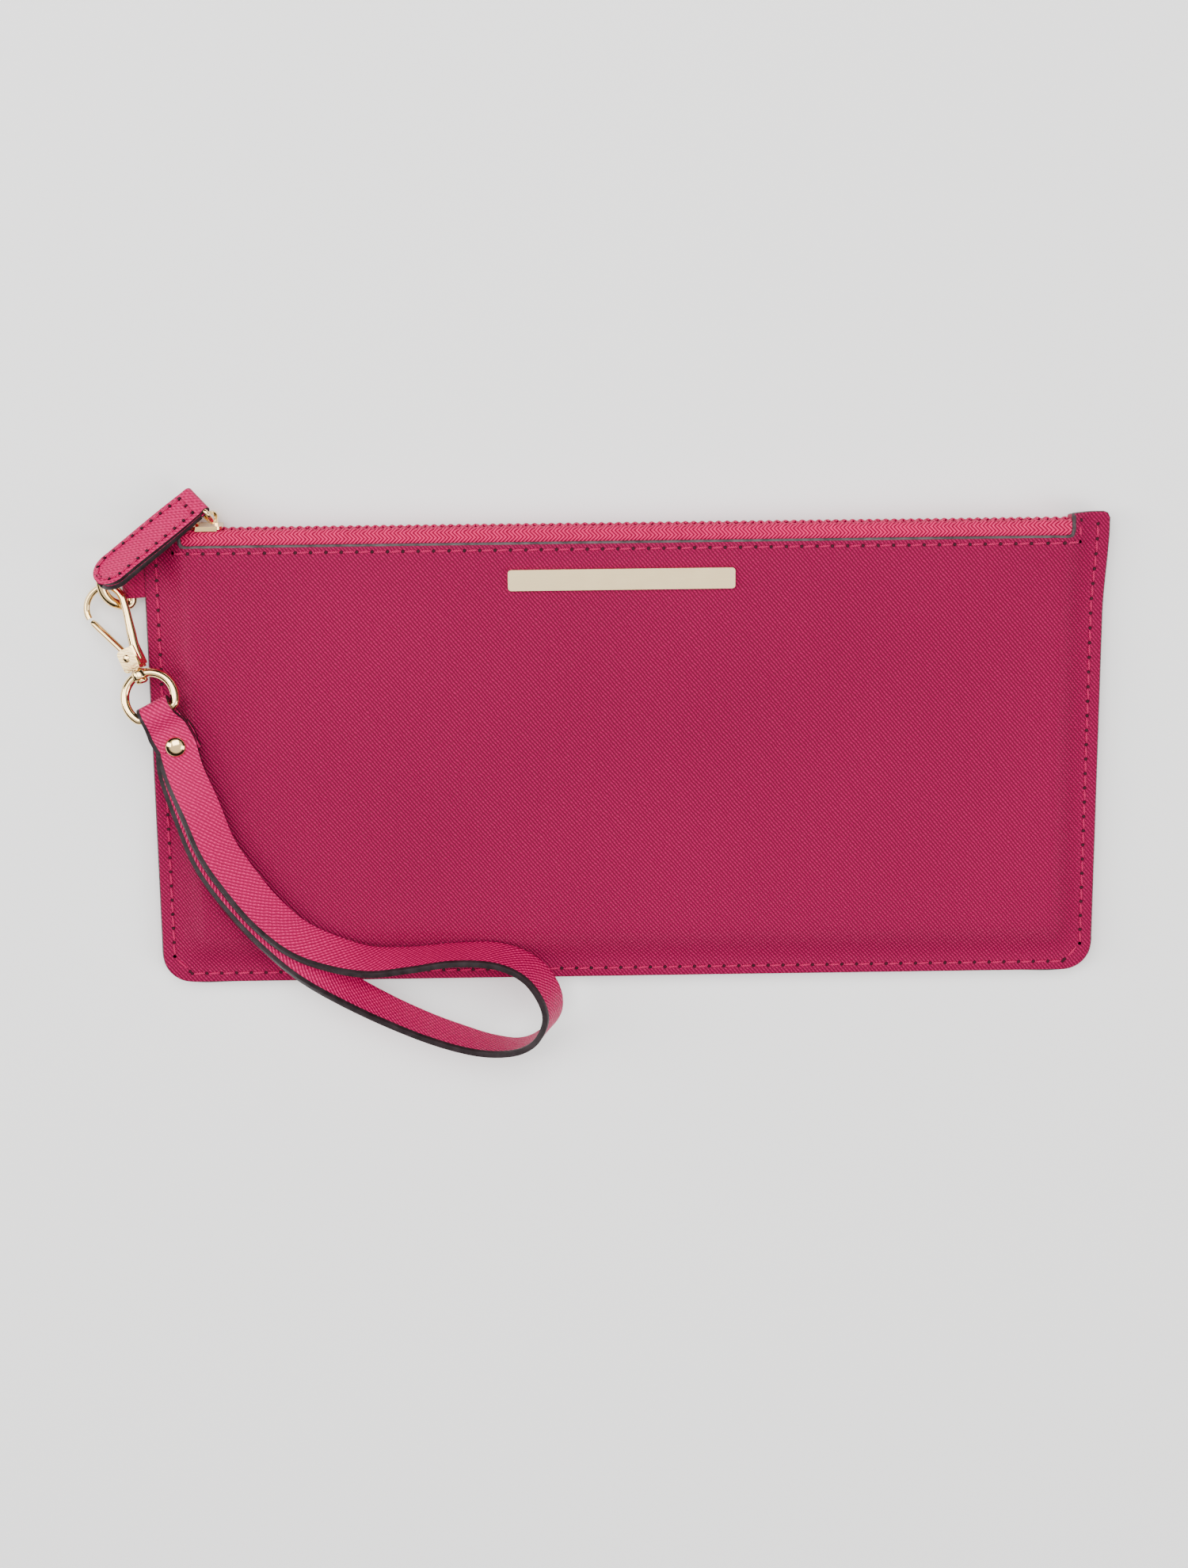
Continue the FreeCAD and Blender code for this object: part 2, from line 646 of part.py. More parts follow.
def puller_fold():
    """Middle of the puller's fold at rest."""
    out = PULLER_ALONG.cross(PULLER_ACROSS).normalize()
    fold = bridge_bar_centre() + BRIDGE_SHIFT + out * size("link_reach")
    return fold + PULLER_ACROSS * size("link_shift")


def pull_link():
    """The link's bar lies in the puller's fold and its arc passes under the bridge."""
    body = wire_d(
        "pull_link", size("link_radius"), size("link_leg"), size("link_corner"), "link_wire"
    )
    out = PULLER_ALONG.cross(PULLER_ACROSS).normalize()
    turn = Rotation(out, PULLER_ACROSS, out.cross(PULLER_ACROSS), "YXZ")
    body.Placement = Placement(puller_fold(), turn)


def puller_frame():
    """The puller's own frame at its fold: Y along the leather, X across it, Z down."""
    down = PULLER_ACROSS.cross(PULLER_ALONG)
    return Placement(puller_fold(), Rotation(PULLER_ACROSS, PULLER_ALONG, down, "YXZ"))


def puller_outline(sketch, start):
    root = size("puller_root") / 2
    tip = size("puller_tip") / 2
    centre = Vector(0, size("puller_length") - tip, 0)
    outline(
        sketch,
        [
            (Vector(-root, start, 0), Vector(root, start, 0)),
            (Vector(root, start, 0), Vector(tip, centre.y, 0)),
            arc_run(centre, tip, 0, 180),
            (Vector(-tip, centre.y, 0), Vector(-root, start, 0)),
        ],
    )


def puller_leathers():
    """The upper leather folds round the link; the back leather is sewn on under it."""
    place = puller_frame()
    leather = size("puller_leather")
    fold_end = size("link_wire") / 2 + 0.6
    front = new_body("puller_front")
    face = new_sketch(front, "puller_face")
    puller_outline(face, fold_end - 0.2)
    pad(front, face, "Sizes.puller_leather", backwards=True)
    barrel = new_sketch(front, "puller_barrel", role="YZ_Plane")
    outline(
        barrel,
        [
            arc_run(Vector(0, 0, 0), leather, 90, 270),
            (Vector(0, -leather, 0), Vector(fold_end, -leather, 0)),
            (Vector(fold_end, -leather, 0), Vector(fold_end, leather, 0)),
            (Vector(fold_end, leather, 0), Vector(0, leather, 0)),
        ],
    )
    pad(front, barrel, "Sizes.puller_root", both_ways=True)
    bore = new_sketch(front, "puller_bore", role="YZ_Plane")
    circle(bore, 0, 0, "Sizes.link_wire / 2", "Sizes.pivot_gap")
    pocket(front, bore, "Sizes.puller_root + 2", both_ways=True)
    front.Placement = place

    back = new_body("puller_back")
    face = new_sketch(back, "puller_rear")
    puller_outline(face, fold_end)
    pad(back, face, "Sizes.puller_leather")
    back.Placement = place


def d_ring():
    body = wire_d("d_ring", size("ring_radius"), size("ring_leg"), size("ring_corner"), "ring_wire")
    body.Placement = Placement(
        Vector(-size("ring_bar_x"), size("ring_bar_y"), size("wallet_depth") / 2),
        Rotation(Y_AXIS, size("ring_tilt")),
    )


def ring_tab():
    """Leather folded round the D-ring's bar, its tongue sewn between the panels."""
    body = new_body("ring_tab")
    section = new_sketch(body, "ring_tab_section", role="XZ_Plane")
    middle = size("wallet_depth") / 2
    bar = Vector(-size("ring_bar_x"), middle, 0)
    bore = size("ring_wire") / 2 + size("pivot_gap")
    outer = bore + size("ring_tab_leather")
    half = size("ring_tab_tongue") / 2
    edge = -size("wallet_width") / 2
    end = edge + size("ring_tab_reach")
    meet = degrees(acos((size("ring_tab_leather") + 0.4) / outer))
    shoulder = bar + Vector(cos(radians(meet)), sin(radians(meet)), 0) * outer
    outline(
        section,
        [
            arc_run(bar, outer, meet, 180),
            arc_run(bar, outer, 180, 360 - meet),
            (Vector(shoulder.x, 2 * middle - shoulder.y, 0), Vector(edge, middle - half, 0)),
            (Vector(edge, middle - half, 0), Vector(end, middle - half, 0)),
            (Vector(end, middle - half, 0), Vector(end, middle + half, 0)),
            (Vector(end, middle + half, 0), Vector(edge, middle + half, 0)),
            (Vector(edge, middle + half, 0), shoulder),
        ],
    )
    circle(section, bar.x, bar.y, "Sizes.ring_wire / 2", "Sizes.pivot_gap")
    pad(body, section, "Sizes.ring_tab_width", both_ways=True)
    body.Placement = Placement(Vector(0, size("ring_bar_y"), 0), Rotation())


def hook_frame(roll):
    """The hook's frame: Y from the neck towards its tip, X towards its spine."""
    turn = Rotation(Z_AXIS, size("hook_heading") - 90)
    dip = Rotation(X_AXIS, -size("hook_pitch"))
    return Placement(NECK, turn * dip * Rotation(Y_AXIS, -roll))


def hook_body():
    """Base plate, spine and eye in one casting, open where the gate closes it."""
    body = new_body("hook_body")
    eye = Vector(0, size("hook_eye_level"), 0)
    radius = size("hook_eye_radius")
    foot = Vector(size("plate_width") / 2 - size("hook_wire") / 2 + 0.35, size("plate_top") - 0.5, 0)
    span = eye - foot
    away = acos(radius / hypot(span.x, span.y))
    touch = degrees(atan2(-span.y, -span.x) + away)
    nose = 180 - touch - 6
    path = new_sketch(body, "hook_path")
    spine_top = eye + Vector(cos(radians(touch)), sin(radians(touch)), 0) * radius
    outline(
        path,
        [
            (foot, spine_top),
            arc_run(eye, radius, touch, (touch + nose) / 2),
            arc_run(eye, radius, (touch + nose) / 2, nose),
        ],
    )
    section = new_sketch(body, "hook_section", role="XZ_Plane", lift="-(Sizes.plate_top - 0.5)")
    circle(section, foot.x, 0, "Sizes.hook_wire / 2")
    pipe(body, section, path)

    plate = new_sketch(body, "hook_plate", lift="-Sizes.plate_depth / 2")
    half = "Sizes.plate_width / 2"
    rectangle(plate, "-" + half, half + " + 0.2", "Sizes.plate_foot", "Sizes.plate_top")
    pad(body, plate, "Sizes.plate_depth")

    channel = new_sketch(body, "hook_channel")
    pin_side = "Sizes.gate_pin_side"
    rectangle(
        channel,
        f"-{half} - 1",
        f"Sizes.gate_hub - {pin_side} + 0.15",
        "Sizes.gate_pin_level - Sizes.gate_hub - 0.15",
        "Sizes.plate_top + 1.5",
    )
    pocket(body, channel, "Sizes.gate_channel", both_ways=True)

    pin_hole = new_sketch(body, "hook_pin_hole")
    circle(pin_hole, -size("gate_pin_side"), size("gate_pin_level"), "Sizes.gate_pin_radius")
    pocket(body, pin_hole, "Sizes.plate_depth + 2", both_ways=True)

    post_hole = new_sketch(body, "hook_post_hole", role="XZ_Plane")
    circle(post_hole, 0, 0, "Sizes.post_radius")
    pocket(body, post_hole, "Sizes.plate_foot + 1.2", backwards=False)
    body.Placement = hook_frame(size("hook_roll"))
    return body


def gate_pivot():
    return Vector(-size("gate_pin_side"), size("gate_pin_level"), 0)


def hook_gate():
    """A flat lever with a round hub on the pin, its tip just under the hook's nose."""
    body = new_body("hook_gate")
    pivot = gate_pivot()
    eye = Vector(0, size("hook_eye_level"), 0)
    tip = Vector(-size("hook_eye_radius") + 0.25, eye.y - 1.3, 0)
    run = tip - pivot
    along = Vector(run).normalize()
    across = Vector(-along.y, along.x, 0)
    half = size("gate_width") / 2
    lever = new_sketch(body, "gate_lever")
    corners = [pivot - across * half, tip - across * half, tip + across * half, pivot + across * half]
    outline(lever, polygon(corners))
    pad(body, lever, "Sizes.gate_depth", both_ways=True)
    hub = new_sketch(body, "gate_hub")
    circle(hub, pivot.x, pivot.y, "Sizes.gate_hub")
    pad(body, hub, "Sizes.gate_depth", both_ways=True)
    bore = new_sketch(body, "gate_bore")
    circle(bore, pivot.x, pivot.y, "Sizes.gate_pin_radius", "Sizes.pivot_gap")
    pocket(body, bore, "Sizes.gate_depth + 1", both_ways=True)
    body.Placement = hook_frame(size("hook_roll"))


def gate_pin():
    body = new_body("gate_pin")
    sketch = new_sketch(body, "gate_pin_section")
    circle(sketch, -size("gate_pin_side"), size("gate_pin_level"), "Sizes.gate_pin_radius")
    pad(body, sketch, "Sizes.plate_depth + 0.4", both_ways=True)
    body.Placement = hook_frame(size("hook_roll"))


def gate_spring():
    """One turn of spring wire round the pin, with a leg each way."""
    pivot = gate_pivot() + Z_AXIS * (size("gate_depth") / 2 + size("spring_wire") / 2 + 0.06)
    coil = Part.makeTorus(size("spring_radius"), size("spring_wire") / 2, pivot, Z_AXIS)
    leg_start = pivot + Vector(-size("spring_radius"), 0, 0)
    leg = Part.makeCylinder(size("spring_wire") / 2, 2.2, leg_start, Vector(0, 1, 0))
    spring = coil.fuse(leg).removeSplitter()
    feature = shape_piece("gate_spring", spring)
    feature.Placement = hook_frame(size("hook_roll"))


def swivel_post():
    """The post is riveted in the plate and carries the ring on its head."""
    body = new_body("swivel_post")
    section = new_sketch(body, "post_section", role="XZ_Plane", lift="-(Sizes.plate_foot + 1.1)")
    circle(section, 0, 0, "Sizes.post_radius")
    pad(body, section, "Sizes.plate_foot + 1.1 + Sizes.collar_foot + 0.1 + Sizes.post_head / 2")
    head = new_sketch(body, "post_head_section", role="XZ_Plane", lift="Sizes.collar_foot + 0.1")
    circle(head, 0, 0, "Sizes.post_head_radius")
    pad(body, head, "Sizes.post_head")
    body.Placement = hook_frame(size("hook_roll"))


def swivel_ring():
    """A ring with a straight bar for the strap and a collar that turns on the post."""
    body = new_body("swivel_ring")
    radius = size("swivel_radius")
    corner = size("swivel_corner")
    centre = Vector(0, -radius, 0)
    bar_y = -radius - size("swivel_bar_drop")
    corner_y = bar_y + corner
    half = ((radius - corner) ** 2 - (corner_y + radius) ** 2) ** 0.5
    leave = degrees(atan2(corner_y + radius, half))
    path = new_sketch(body, "swivel_path")
    outline(
        path,
        [
            (Vector(0, bar_y, 0), Vector(half, bar_y, 0)),
            arc_run(Vector(half, corner_y, 0), corner, -90, leave),
            arc_run(centre, radius, leave, 90),
            arc_run(centre, radius, 90, 180 - leave),
            arc_run(Vector(-half, corner_y, 0), corner, 180 - leave, 270),
            (Vector(-half, bar_y, 0), Vector(0, bar_y, 0)),
        ],
    )
    section = new_sketch(body, "swivel_section", role="YZ_Plane")
    circle(section, bar_y, 0, "Sizes.swivel_wire / 2")
    pipe(body, section, path)
    collar = new_sketch(body, "swivel_collar", role="XZ_Plane", lift="-Sizes.collar_top")
    circle(collar, 0, 0, "Sizes.collar_radius")
    pad(body, collar, "Sizes.collar_top + Sizes.collar_foot")
    bore = new_sketch(body, "swivel_bore", role="XZ_Plane", lift="-(Sizes.collar_top + 1)")
    circle(bore, 0, 0, "Sizes.post_radius", "Sizes.pivot_gap")
    pocket(body, bore, "Sizes.collar_top + Sizes.collar_foot + 2", backwards=True)
    body.Placement = hook_frame(0)


def smooth(rows, steps):
    """Pass a smooth curve through rows of numbers and return it at even steps."""
    points = []
    last = len(rows) - 1
    for index in range(last):
        before = rows[max(index - 1, 0)]
        start = rows[index]
        end = rows[index + 1]
        after = rows[min(index + 2, last)]
        for step in range(steps):
            f = step / steps
            points.append(
                tuple(
                    0.5
                    * (
                        2 * b
                        + (c - a) * f
                        + (2 * a - 5 * b + 4 * c - d) * f**2
                        + (3 * b - a - 3 * c + d) * f**3
                    )
                    for a, b, c, d in zip(before, start, end, after)
                )
            )
    points.append(tuple(rows[-1]))
    return points


def strap_bar():
    """Middle of the swivel ring's bar, and the way the strap leaves it."""
    bar = hook_frame(0).multVec(Vector(0, -size("swivel_radius") - size("swivel_bar_drop"), 0))
    ahead = Vector(RIVET.x - bar.x, RIVET.y - bar.y, 0).normalize()
    return bar, ahead


def strap_stations():
    """Middle, width direction and width of the strap from its tail to its lower end."""
    bar, ahead = strap_bar()
    side = Vector(ahead.y, -ahead.x, 0)
    reach = size("swivel_wire") / 2 + 0.2 + size("strap_leather") / 2
    layer = size("strap_leather") + 0.05
    narrow = size("strap_fold_width")
    wide = size("strap_width")
    blend = 4.8
    stations = []
    for distance in (12.2, 8.4, 6.0, 4.8, 3.6, 2.4, 1.2):
        share = min(distance / blend, 1)
        low = bar.z - reach
        lift = low + (RIVET.z - layer - low) * (1 - cos(radians(180 * share))) / 2
        middle = bar + ahead * distance
        stations.append((Vector(middle.x, middle.y, lift), side, narrow + (wide - narrow) * share))
    for step in range(10):
        swing = radians(270 - 20 * step)
        middle = bar + (ahead * cos(swing) + Z_AXIS * sin(swing)) * reach
        stations.append((middle, side, narrow))
    for distance in (1.2, 2.4, 3.6, 4.8, 6.0):
        share = min(distance / blend, 1)
        high = bar.z + reach
        lift = high + (RIVET.z - high) * (1 - cos(radians(180 * share))) / 2
        middle = bar + ahead * distance
        stations.append((Vector(middle.x, middle.y, lift), side, narrow + (wide - narrow) * share))

    lower_end = bar + ahead * 5.6
    rows = [(RIVET.x, RIVET.y, RIVET.z, 0)]
    rows += STRAP_LOOP
    rows.append((RIVET.x, RIVET.y, RIVET.z - 2 * layer, 180))
    rows.append((lower_end.x, lower_end.y, RIVET.z - 2 * layer, 180))
    loop = smooth(rows, 2)
    for index, (x, y, z, lean) in enumerate(loop):
        before = loop[max(index - 1, 0)]
        after = loop[min(index + 1, len(loop) - 1)]
        along = Vector(after[0] - before[0], after[1] - before[1], 0).normalize()
        level = Vector(along.y, -along.x, 0)
        across = level * cos(radians(lean)) + Z_AXIS * sin(radians(lean))
        stations.append((Vector(x, y, z), across, wide))
    return stations


def strap():
    """The whole wrist strap: two bonded leathers, folded round the ring and riveted."""
    stations = strap_stations()
    half_thick = size("strap_leather") / 2
    sections = []
    for index, (middle, across, width) in enumerate(stations):
        before = stations[max(index - 1, 0)][0]
        after = stations[min(index + 1, len(stations) - 1)][0]
        along = (after - before).normalize()
        flat = (across - along * across.dot(along)).normalize()
        rise = along.cross(flat) * half_thick
        reach = flat * (width / 2)
        corners = [middle - reach - rise, middle + reach - rise, middle + reach + rise]
        corners.append(middle - reach + rise)
        sections.append(Part.makePolygon(corners + corners[:1]))
    solid = Part.makeLoft(sections, True, True)
    hole = Part.makeCylinder(
        size("rivet_shaft") + 0.06, 8, Vector(RIVET.x, RIVET.y, RIVET.z - 5), Z_AXIS
    )
    return shape_piece("strap", solid.cut(hole))


def rivet():
    """A domed cap over the strap and a flat post under its three layers."""
    half_leather = size("strap_leather") / 2
    cap = new_body("rivet_cap")
    dome = new_sketch(cap, "rivet_dome", role="XZ_Plane")
    radius = size("rivet_cap_radius")
    height = size("rivet_cap_height")
    rim = height / 4
    rise = height - rim
    crown = (radius**2 + rise**2) / (2 * rise)
    edge = degrees(acos(radius / crown))
    outline(
        dome,
        [
            (Vector(0, 0, 0), Vector(radius, 0, 0)),
            (Vector(radius, 0, 0), Vector(radius, rim, 0)),
            arc_run(Vector(0, height - crown, 0), crown, edge, 90),
            (Vector(0, height, 0), Vector(0, 0, 0)),
        ],
    )
    revolve(cap, dome)
    cap.Placement = Placement(RIVET + Z_AXIS * (half_leather + 0.06), Rotation())

    post = new_body("rivet_post")
    flange = new_sketch(post, "rivet_flange")
    circle(flange, 0, 0, "Sizes.rivet_flange_radius")
    pad(post, flange, "Sizes.rivet_flange")
    shaft = new_sketch(post, "rivet_shaft")
    circle(shaft, 0, 0, "Sizes.rivet_shaft")
    layer = size("strap_leather") + 0.05
    foot = RIVET.z - 2 * layer - half_leather - size("rivet_flange") - 0.02
    pad(post, shaft, f"{RIVET.z + half_leather + 0.06 - foot}")
    post.Placement = Placement(Vector(RIVET.x, RIVET.y, foot), Rotation())


def stitches(start, end, lift):
    """A row of stitches between two points, centred on the run, on a face at one height."""
    run = end - start
    count = int(run.Length // size("stitch_pitch"))
    step = run / count
    turn = Rotation(X_AXIS, Vector(run.x, run.y, 0))
    row = []
    for index in range(count):
        middle = start + step * (index + 0.5)
        box = Part.makeBox(
            size("stitch"),
            size("thread"),
            size("thread_rise"),
            Vector(-size("stitch") / 2, -size("thread") / 2, 0),
        )
        box.Placement = Placement(Vector(middle.x, middle.y, lift), turn)
        row.append(box)
    return row


def threads():
    """Seam thread through both margins, and the two rows beside the mouth."""
    side = size("wallet_width") / 2 - size("seam_side_inset")
    foot = -size("wallet_height") / 2 + size("seam_inset")
    top = size("wallet_height") / 2 - 3
    front_face = size("wallet_depth") / 2 + size("leather")
    back_face = size("wallet_depth") / 2 - size("leather") - size("thread_rise")
    turn = size("corner_radius") - size("seam_side_inset")
    seam = []
    for lift in (front_face, back_face):
        for x in (-side, side):
            seam += stitches(Vector(x, top, 0), Vector(x, foot + turn, 0), lift)
        seam += stitches(Vector(-side + turn, foot, 0), Vector(side - turn, foot, 0), lift)
    shape_piece("seam_thread", Part.makeCompound(seam))

    level = size("wallet_height") / 2 - size("mouth_drop") - size("mouth_inset")
    reach = size("wallet_width") / 2 - size("tab_width") + size("mouth_inset")
    ends = (Vector(-reach, level, 0), Vector(reach, level, 0))
    front_row = stitches(*ends, size("wallet_depth"))
    shape_piece("mouth_thread_front", Part.makeCompound(front_row))
    back_row = stitches(*ends, (size("thread_groove") - size("thread_rise")) / 2)
    shape_piece("mouth_thread_back", Part.makeCompound(back_row))


def puller_thread():
    """Stitches round the puller's upper face, a little in from its edge."""
    inset = 1.3
    root = size("puller_root") / 2 - inset
    tip = size("puller_tip") / 2
    start = size("link_wire") / 2 + 2.2
    centre = size("puller_length") - tip
    face = -size("puller_leather") - size("thread_rise")
    row = []
    for sign in (-1, 1):
        row += stitches(
            Vector(sign * root, start, 0), Vector(sign * (tip - inset), centre, 0), face
        )
    row += stitches(Vector(-root, start - 0.6, 0), Vector(root, start - 0.6, 0), face)
    for angle in (20, 55, 90, 125, 160):
        spot = Vector(cos(radians(angle)), sin(radians(angle)), 0) * (tip - inset)
        way = Vector(-spot.y, spot.x, 0).normalize() * (size("stitch_pitch") / 2 + 0.01)
        middle = spot + Vector(0, centre, 0)
        row += stitches(middle - way, middle + way, face)
    thread = shape_piece("puller_thread", Part.makeCompound(row))
    thread.Placement = puller_frame()


def name_bar():
    """A plain bar on the front, held by two posts and washers."""
    body = new_body("name_bar")
    plate = new_sketch(body, "bar_plate", lift="Sizes.wallet_depth")
    rectangle(
        plate,
        "-Sizes.bar_length / 2",
        "Sizes.bar_length / 2",
        "Sizes.bar_level - Sizes.bar_height / 2",
        "Sizes.bar_level + Sizes.bar_height / 2",
    )
    pad(body, plate, "Sizes.bar_thickness")
    round_edges(body, "Sizes.bar_corner", lambda middle, along: abs(along.z) > 0.5)
    posts = new_sketch(body, "bar_posts", lift="Sizes.wallet_depth")
    for sign in (-1, 1):
        circle(posts, sign * size("bar_post_spread"), size("bar_level"), "Sizes.bar_post_radius")
    pad(body, posts, "Sizes.leather + Sizes.washer", backwards=True)
    body.Placement = Placement(Vector(-1, 0, 0), Rotation())

    washers = new_body("bar_washers")
    rings = new_sketch(washers, "washer_rings", lift="Sizes.wallet_depth - Sizes.leather")
    for sign in (-1, 1):
        centre = sign * size("bar_post_spread")
        circle(rings, centre, size("bar_level"), "Sizes.washer_radius")
        circle(rings, centre, size("bar_level"), "Sizes.bar_post_radius")
    pad(washers, rings, "Sizes.washer", backwards=True)
    washers.Placement = Placement(Vector(-1, 0, 0), Rotation())


def card_pocket():
    """A cloth pocket for cards on the back lining."""
    half = "Sizes.card_pocket_width / 2"
    foot = "-(Sizes.board_foot - 4)"
    flat_sheet(
        "card_pocket",
        "-" + half,
        half,
        foot,
        f"{foot} + Sizes.card_pocket_height",
        "Sizes.leather + Sizes.board + Sizes.lining",
        "Sizes.card_pocket",
    )


front = panel("front_panel", 1)
bar_holes = new_sketch(front, "front_bar_holes", lift="Sizes.wallet_depth + 1")
for sign in (-1, 1):
    circle(
        bar_holes,
        sign * size("bar_post_spread") - 1,
        size("bar_level"),
        "Sizes.bar_post_radius",
        "Sizes.pivot_gap",
    )
pocket(front, bar_holes, "Sizes.leather + 2")

back = panel("back_panel", -1)
groove = new_sketch(back, "back_thread_groove")
groove_level = f"({MOUTH_EDGE} - Sizes.mouth_inset)"
groove_side = "(Sizes.wallet_width / 2 - Sizes.tab_width + Sizes.mouth_inset)"
rectangle(
    groove,
    "-" + groove_side,
    groove_side,
    f"{groove_level} - Sizes.thread",
    f"{groove_level} + Sizes.thread",
)
pocket(back, groove, "Sizes.thread_groove", backwards=True)

for side in (1, -1):
    inner_layers(side)
card_pocket()
zip_tape("zip_tape_front", 1)
zip_tape("zip_tape_back", -1)
tooth_row("teeth_front", 1)
tooth_row("teeth_back", -1)
zip_stops("top_stops", -1, block=False)
zip_stops("bottom_stop", 1, block=True)
threads()
name_bar()
zip_slider()
pull_link()
puller_leathers()
puller_thread()
ring_tab()
d_ring()
hook_body()
hook_gate()
gate_pin()
gate_spring()
swivel_post()
swivel_ring()
strap()
rivet()
doc.recompute()

os.makedirs("parts", exist_ok=True)
for item in doc.Objects:
    if "Invalid" in item.State or "Error" in item.State:
        raise ValueError(f"{item.Label} did not compute")
for piece in pieces:
    if piece.Shape.isNull() or not piece.Shape.isValid() or not piece.Shape.Solids:
        raise ValueError(f"{piece.Label} is not a valid solid")
    piece.Shape.exportStep(f"parts/{piece.Label}.step")
    box = piece.Shape.BoundBox
    print(
        f"{piece.Label}: {len(piece.Shape.Solids)} solids, {piece.Shape.Volume:.1f} mm3, "
        f"x {box.XMin:.1f} {box.XMax:.1f} y {box.YMin:.1f} {box.YMax:.1f} z {box.ZMin:.2f} {box.ZMax:.2f}"
    )
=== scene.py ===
import math
import random

import bmesh
import bpy
from mathutils import Matrix, Vector


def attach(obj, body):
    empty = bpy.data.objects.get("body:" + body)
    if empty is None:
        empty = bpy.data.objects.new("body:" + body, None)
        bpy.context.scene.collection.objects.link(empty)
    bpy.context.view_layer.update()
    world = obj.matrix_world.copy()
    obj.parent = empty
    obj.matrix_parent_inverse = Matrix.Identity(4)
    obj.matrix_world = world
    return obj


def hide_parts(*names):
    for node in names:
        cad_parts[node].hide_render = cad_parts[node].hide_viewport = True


# Wristlet wallet lying on its back. Metres, +X right, +Y towards the zip, +Z out of the front.

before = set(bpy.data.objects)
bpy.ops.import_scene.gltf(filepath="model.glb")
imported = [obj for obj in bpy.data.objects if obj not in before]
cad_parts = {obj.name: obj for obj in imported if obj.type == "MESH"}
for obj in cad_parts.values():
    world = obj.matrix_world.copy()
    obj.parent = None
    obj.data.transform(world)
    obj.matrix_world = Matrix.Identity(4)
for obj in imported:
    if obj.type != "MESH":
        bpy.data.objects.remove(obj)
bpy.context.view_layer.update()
scene = bpy.context.scene
MM = 0.001


# ---------------------------------------------------------------- camera, lights and floor

def place_camera():
    data = bpy.data.cameras.new("studio_camera")
    data.lens = 65.49
    data.sensor_width = 36.0
    data.clip_start = 0.02
    data.clip_end = 20.0
    camera = bpy.data.objects.new("studio_camera", data)
    scene.collection.objects.link(camera)
    right = Vector((0.9998, -0.0100, 0.0160)).normalized()
    up = Vector((0.0136, 0.9692, -0.2460))
    up = (up - right * up.dot(right)).normalized()
    back = right.cross(up)
    turn = Matrix((right, up, back)).transposed().to_4x4()
    camera.matrix_world = Matrix.Translation(Vector((-17.05, 162.56, 677.66)) * MM) @ turn
    scene.camera = camera


def softbox(name, where, aim, width, height, power, colour=(1.0, 1.0, 1.0)):
    data = bpy.data.lights.new(name, "AREA")
    data.shape = "RECTANGLE"
    data.size = width
    data.size_y = height
    data.energy = power
    data.color = colour
    lamp = bpy.data.objects.new(name, data)
    scene.collection.objects.link(lamp)
    lamp.location = where
    lamp.rotation_euler = (Vector(aim) - Vector(where)).to_track_quat("-Z", "Y").to_euler()


def studio():
    """Soft light: a large box above, one at each side and a pale surround with a dark band low down."""
    softbox("light_top", (-0.15, 0.55, 1.25), (0, 0, 0), 1.1, 0.8, 21.0)
    softbox("light_left", (-1.1, 0.15, 0.75), (-0.05, 0, 0), 0.5, 0.9, 10.5)
    softbox("light_right", (1.0, -0.35, 0.9), (0, 0, 0), 0.6, 0.9, 9.0)
    world = bpy.data.worlds.new("studio_surround")
    world.use_nodes = True
    scene.world = world
    nodes = world.node_tree.nodes
    links = world.node_tree.links
    nodes.clear()
    coordinates = nodes.new("ShaderNodeTexCoord")
    split = nodes.new("ShaderNodeSeparateXYZ")
    ramp = nodes.new("ShaderNodeValToRGB")
    background = nodes.new("ShaderNodeBackground")
    output = nodes.new("ShaderNodeOutputWorld")
    stops = ((0.05, 0.25), (0.22, 0.01), (0.58, 0.02), (0.72, 0.95), (0.90, 1.0))
    while len(ramp.color_ramp.elements) < len(stops):
        ramp.color_ramp.elements.new(0.5)
    for element, (position, level) in zip(ramp.color_ramp.elements, stops):
        element.position = position
        element.color = (level, level * 0.97, level * 0.94, 1)
    background.inputs["Strength"].default_value = 1.3
    links.new(coordinates.outputs["Generated"], split.inputs[0])
    links.new(split.outputs["Z"], ramp.inputs["Fac"])
    links.new(ramp.outputs["Color"], background.inputs["Color"])
    links.new(background.outputs[0], output.inputs[0])


def lay_floor():
    work = bmesh.new()
    bmesh.ops.create_grid(work, x_segments=1, y_segments=1, size=3.0)
    bmesh.ops.translate(work, verts=work.verts, vec=(0, 0, -0.0003))
    mesh = bpy.data.meshes.new("floor")
    work.to_mesh(mesh)
    work.free()
    floor = bpy.data.objects.new("floor", mesh)
    scene.collection.objects.link(floor)
    paper = bpy.data.materials.new("pale_paper")
    paper.use_nodes = True
    shader = paper.node_tree.nodes["Principled BSDF"]
    shader.inputs["Base Color"].default_value = (0.97, 0.97, 0.97, 1)
    shader.inputs["Roughness"].default_value = 0.85
    mesh.materials.append(paper)


place_camera()
studio()
lay_floor()


# ---------------------------------------------------------------- shader groups

def new_group(name, inputs, outputs):
    group = bpy.data.node_groups.new(name, "ShaderNodeTree")
    for label, kind, value in inputs:
        socket = group.interface.new_socket(name=label, in_out="INPUT", socket_type="NodeSocket" + kind)
        if value is not None:
            socket.default_value = value
    for label, kind in outputs:
        group.interface.new_socket(name=label, in_out="OUTPUT", socket_type="NodeSocket" + kind)
    return group, group.nodes.new("NodeGroupInput"), group.nodes.new("NodeGroupOutput")


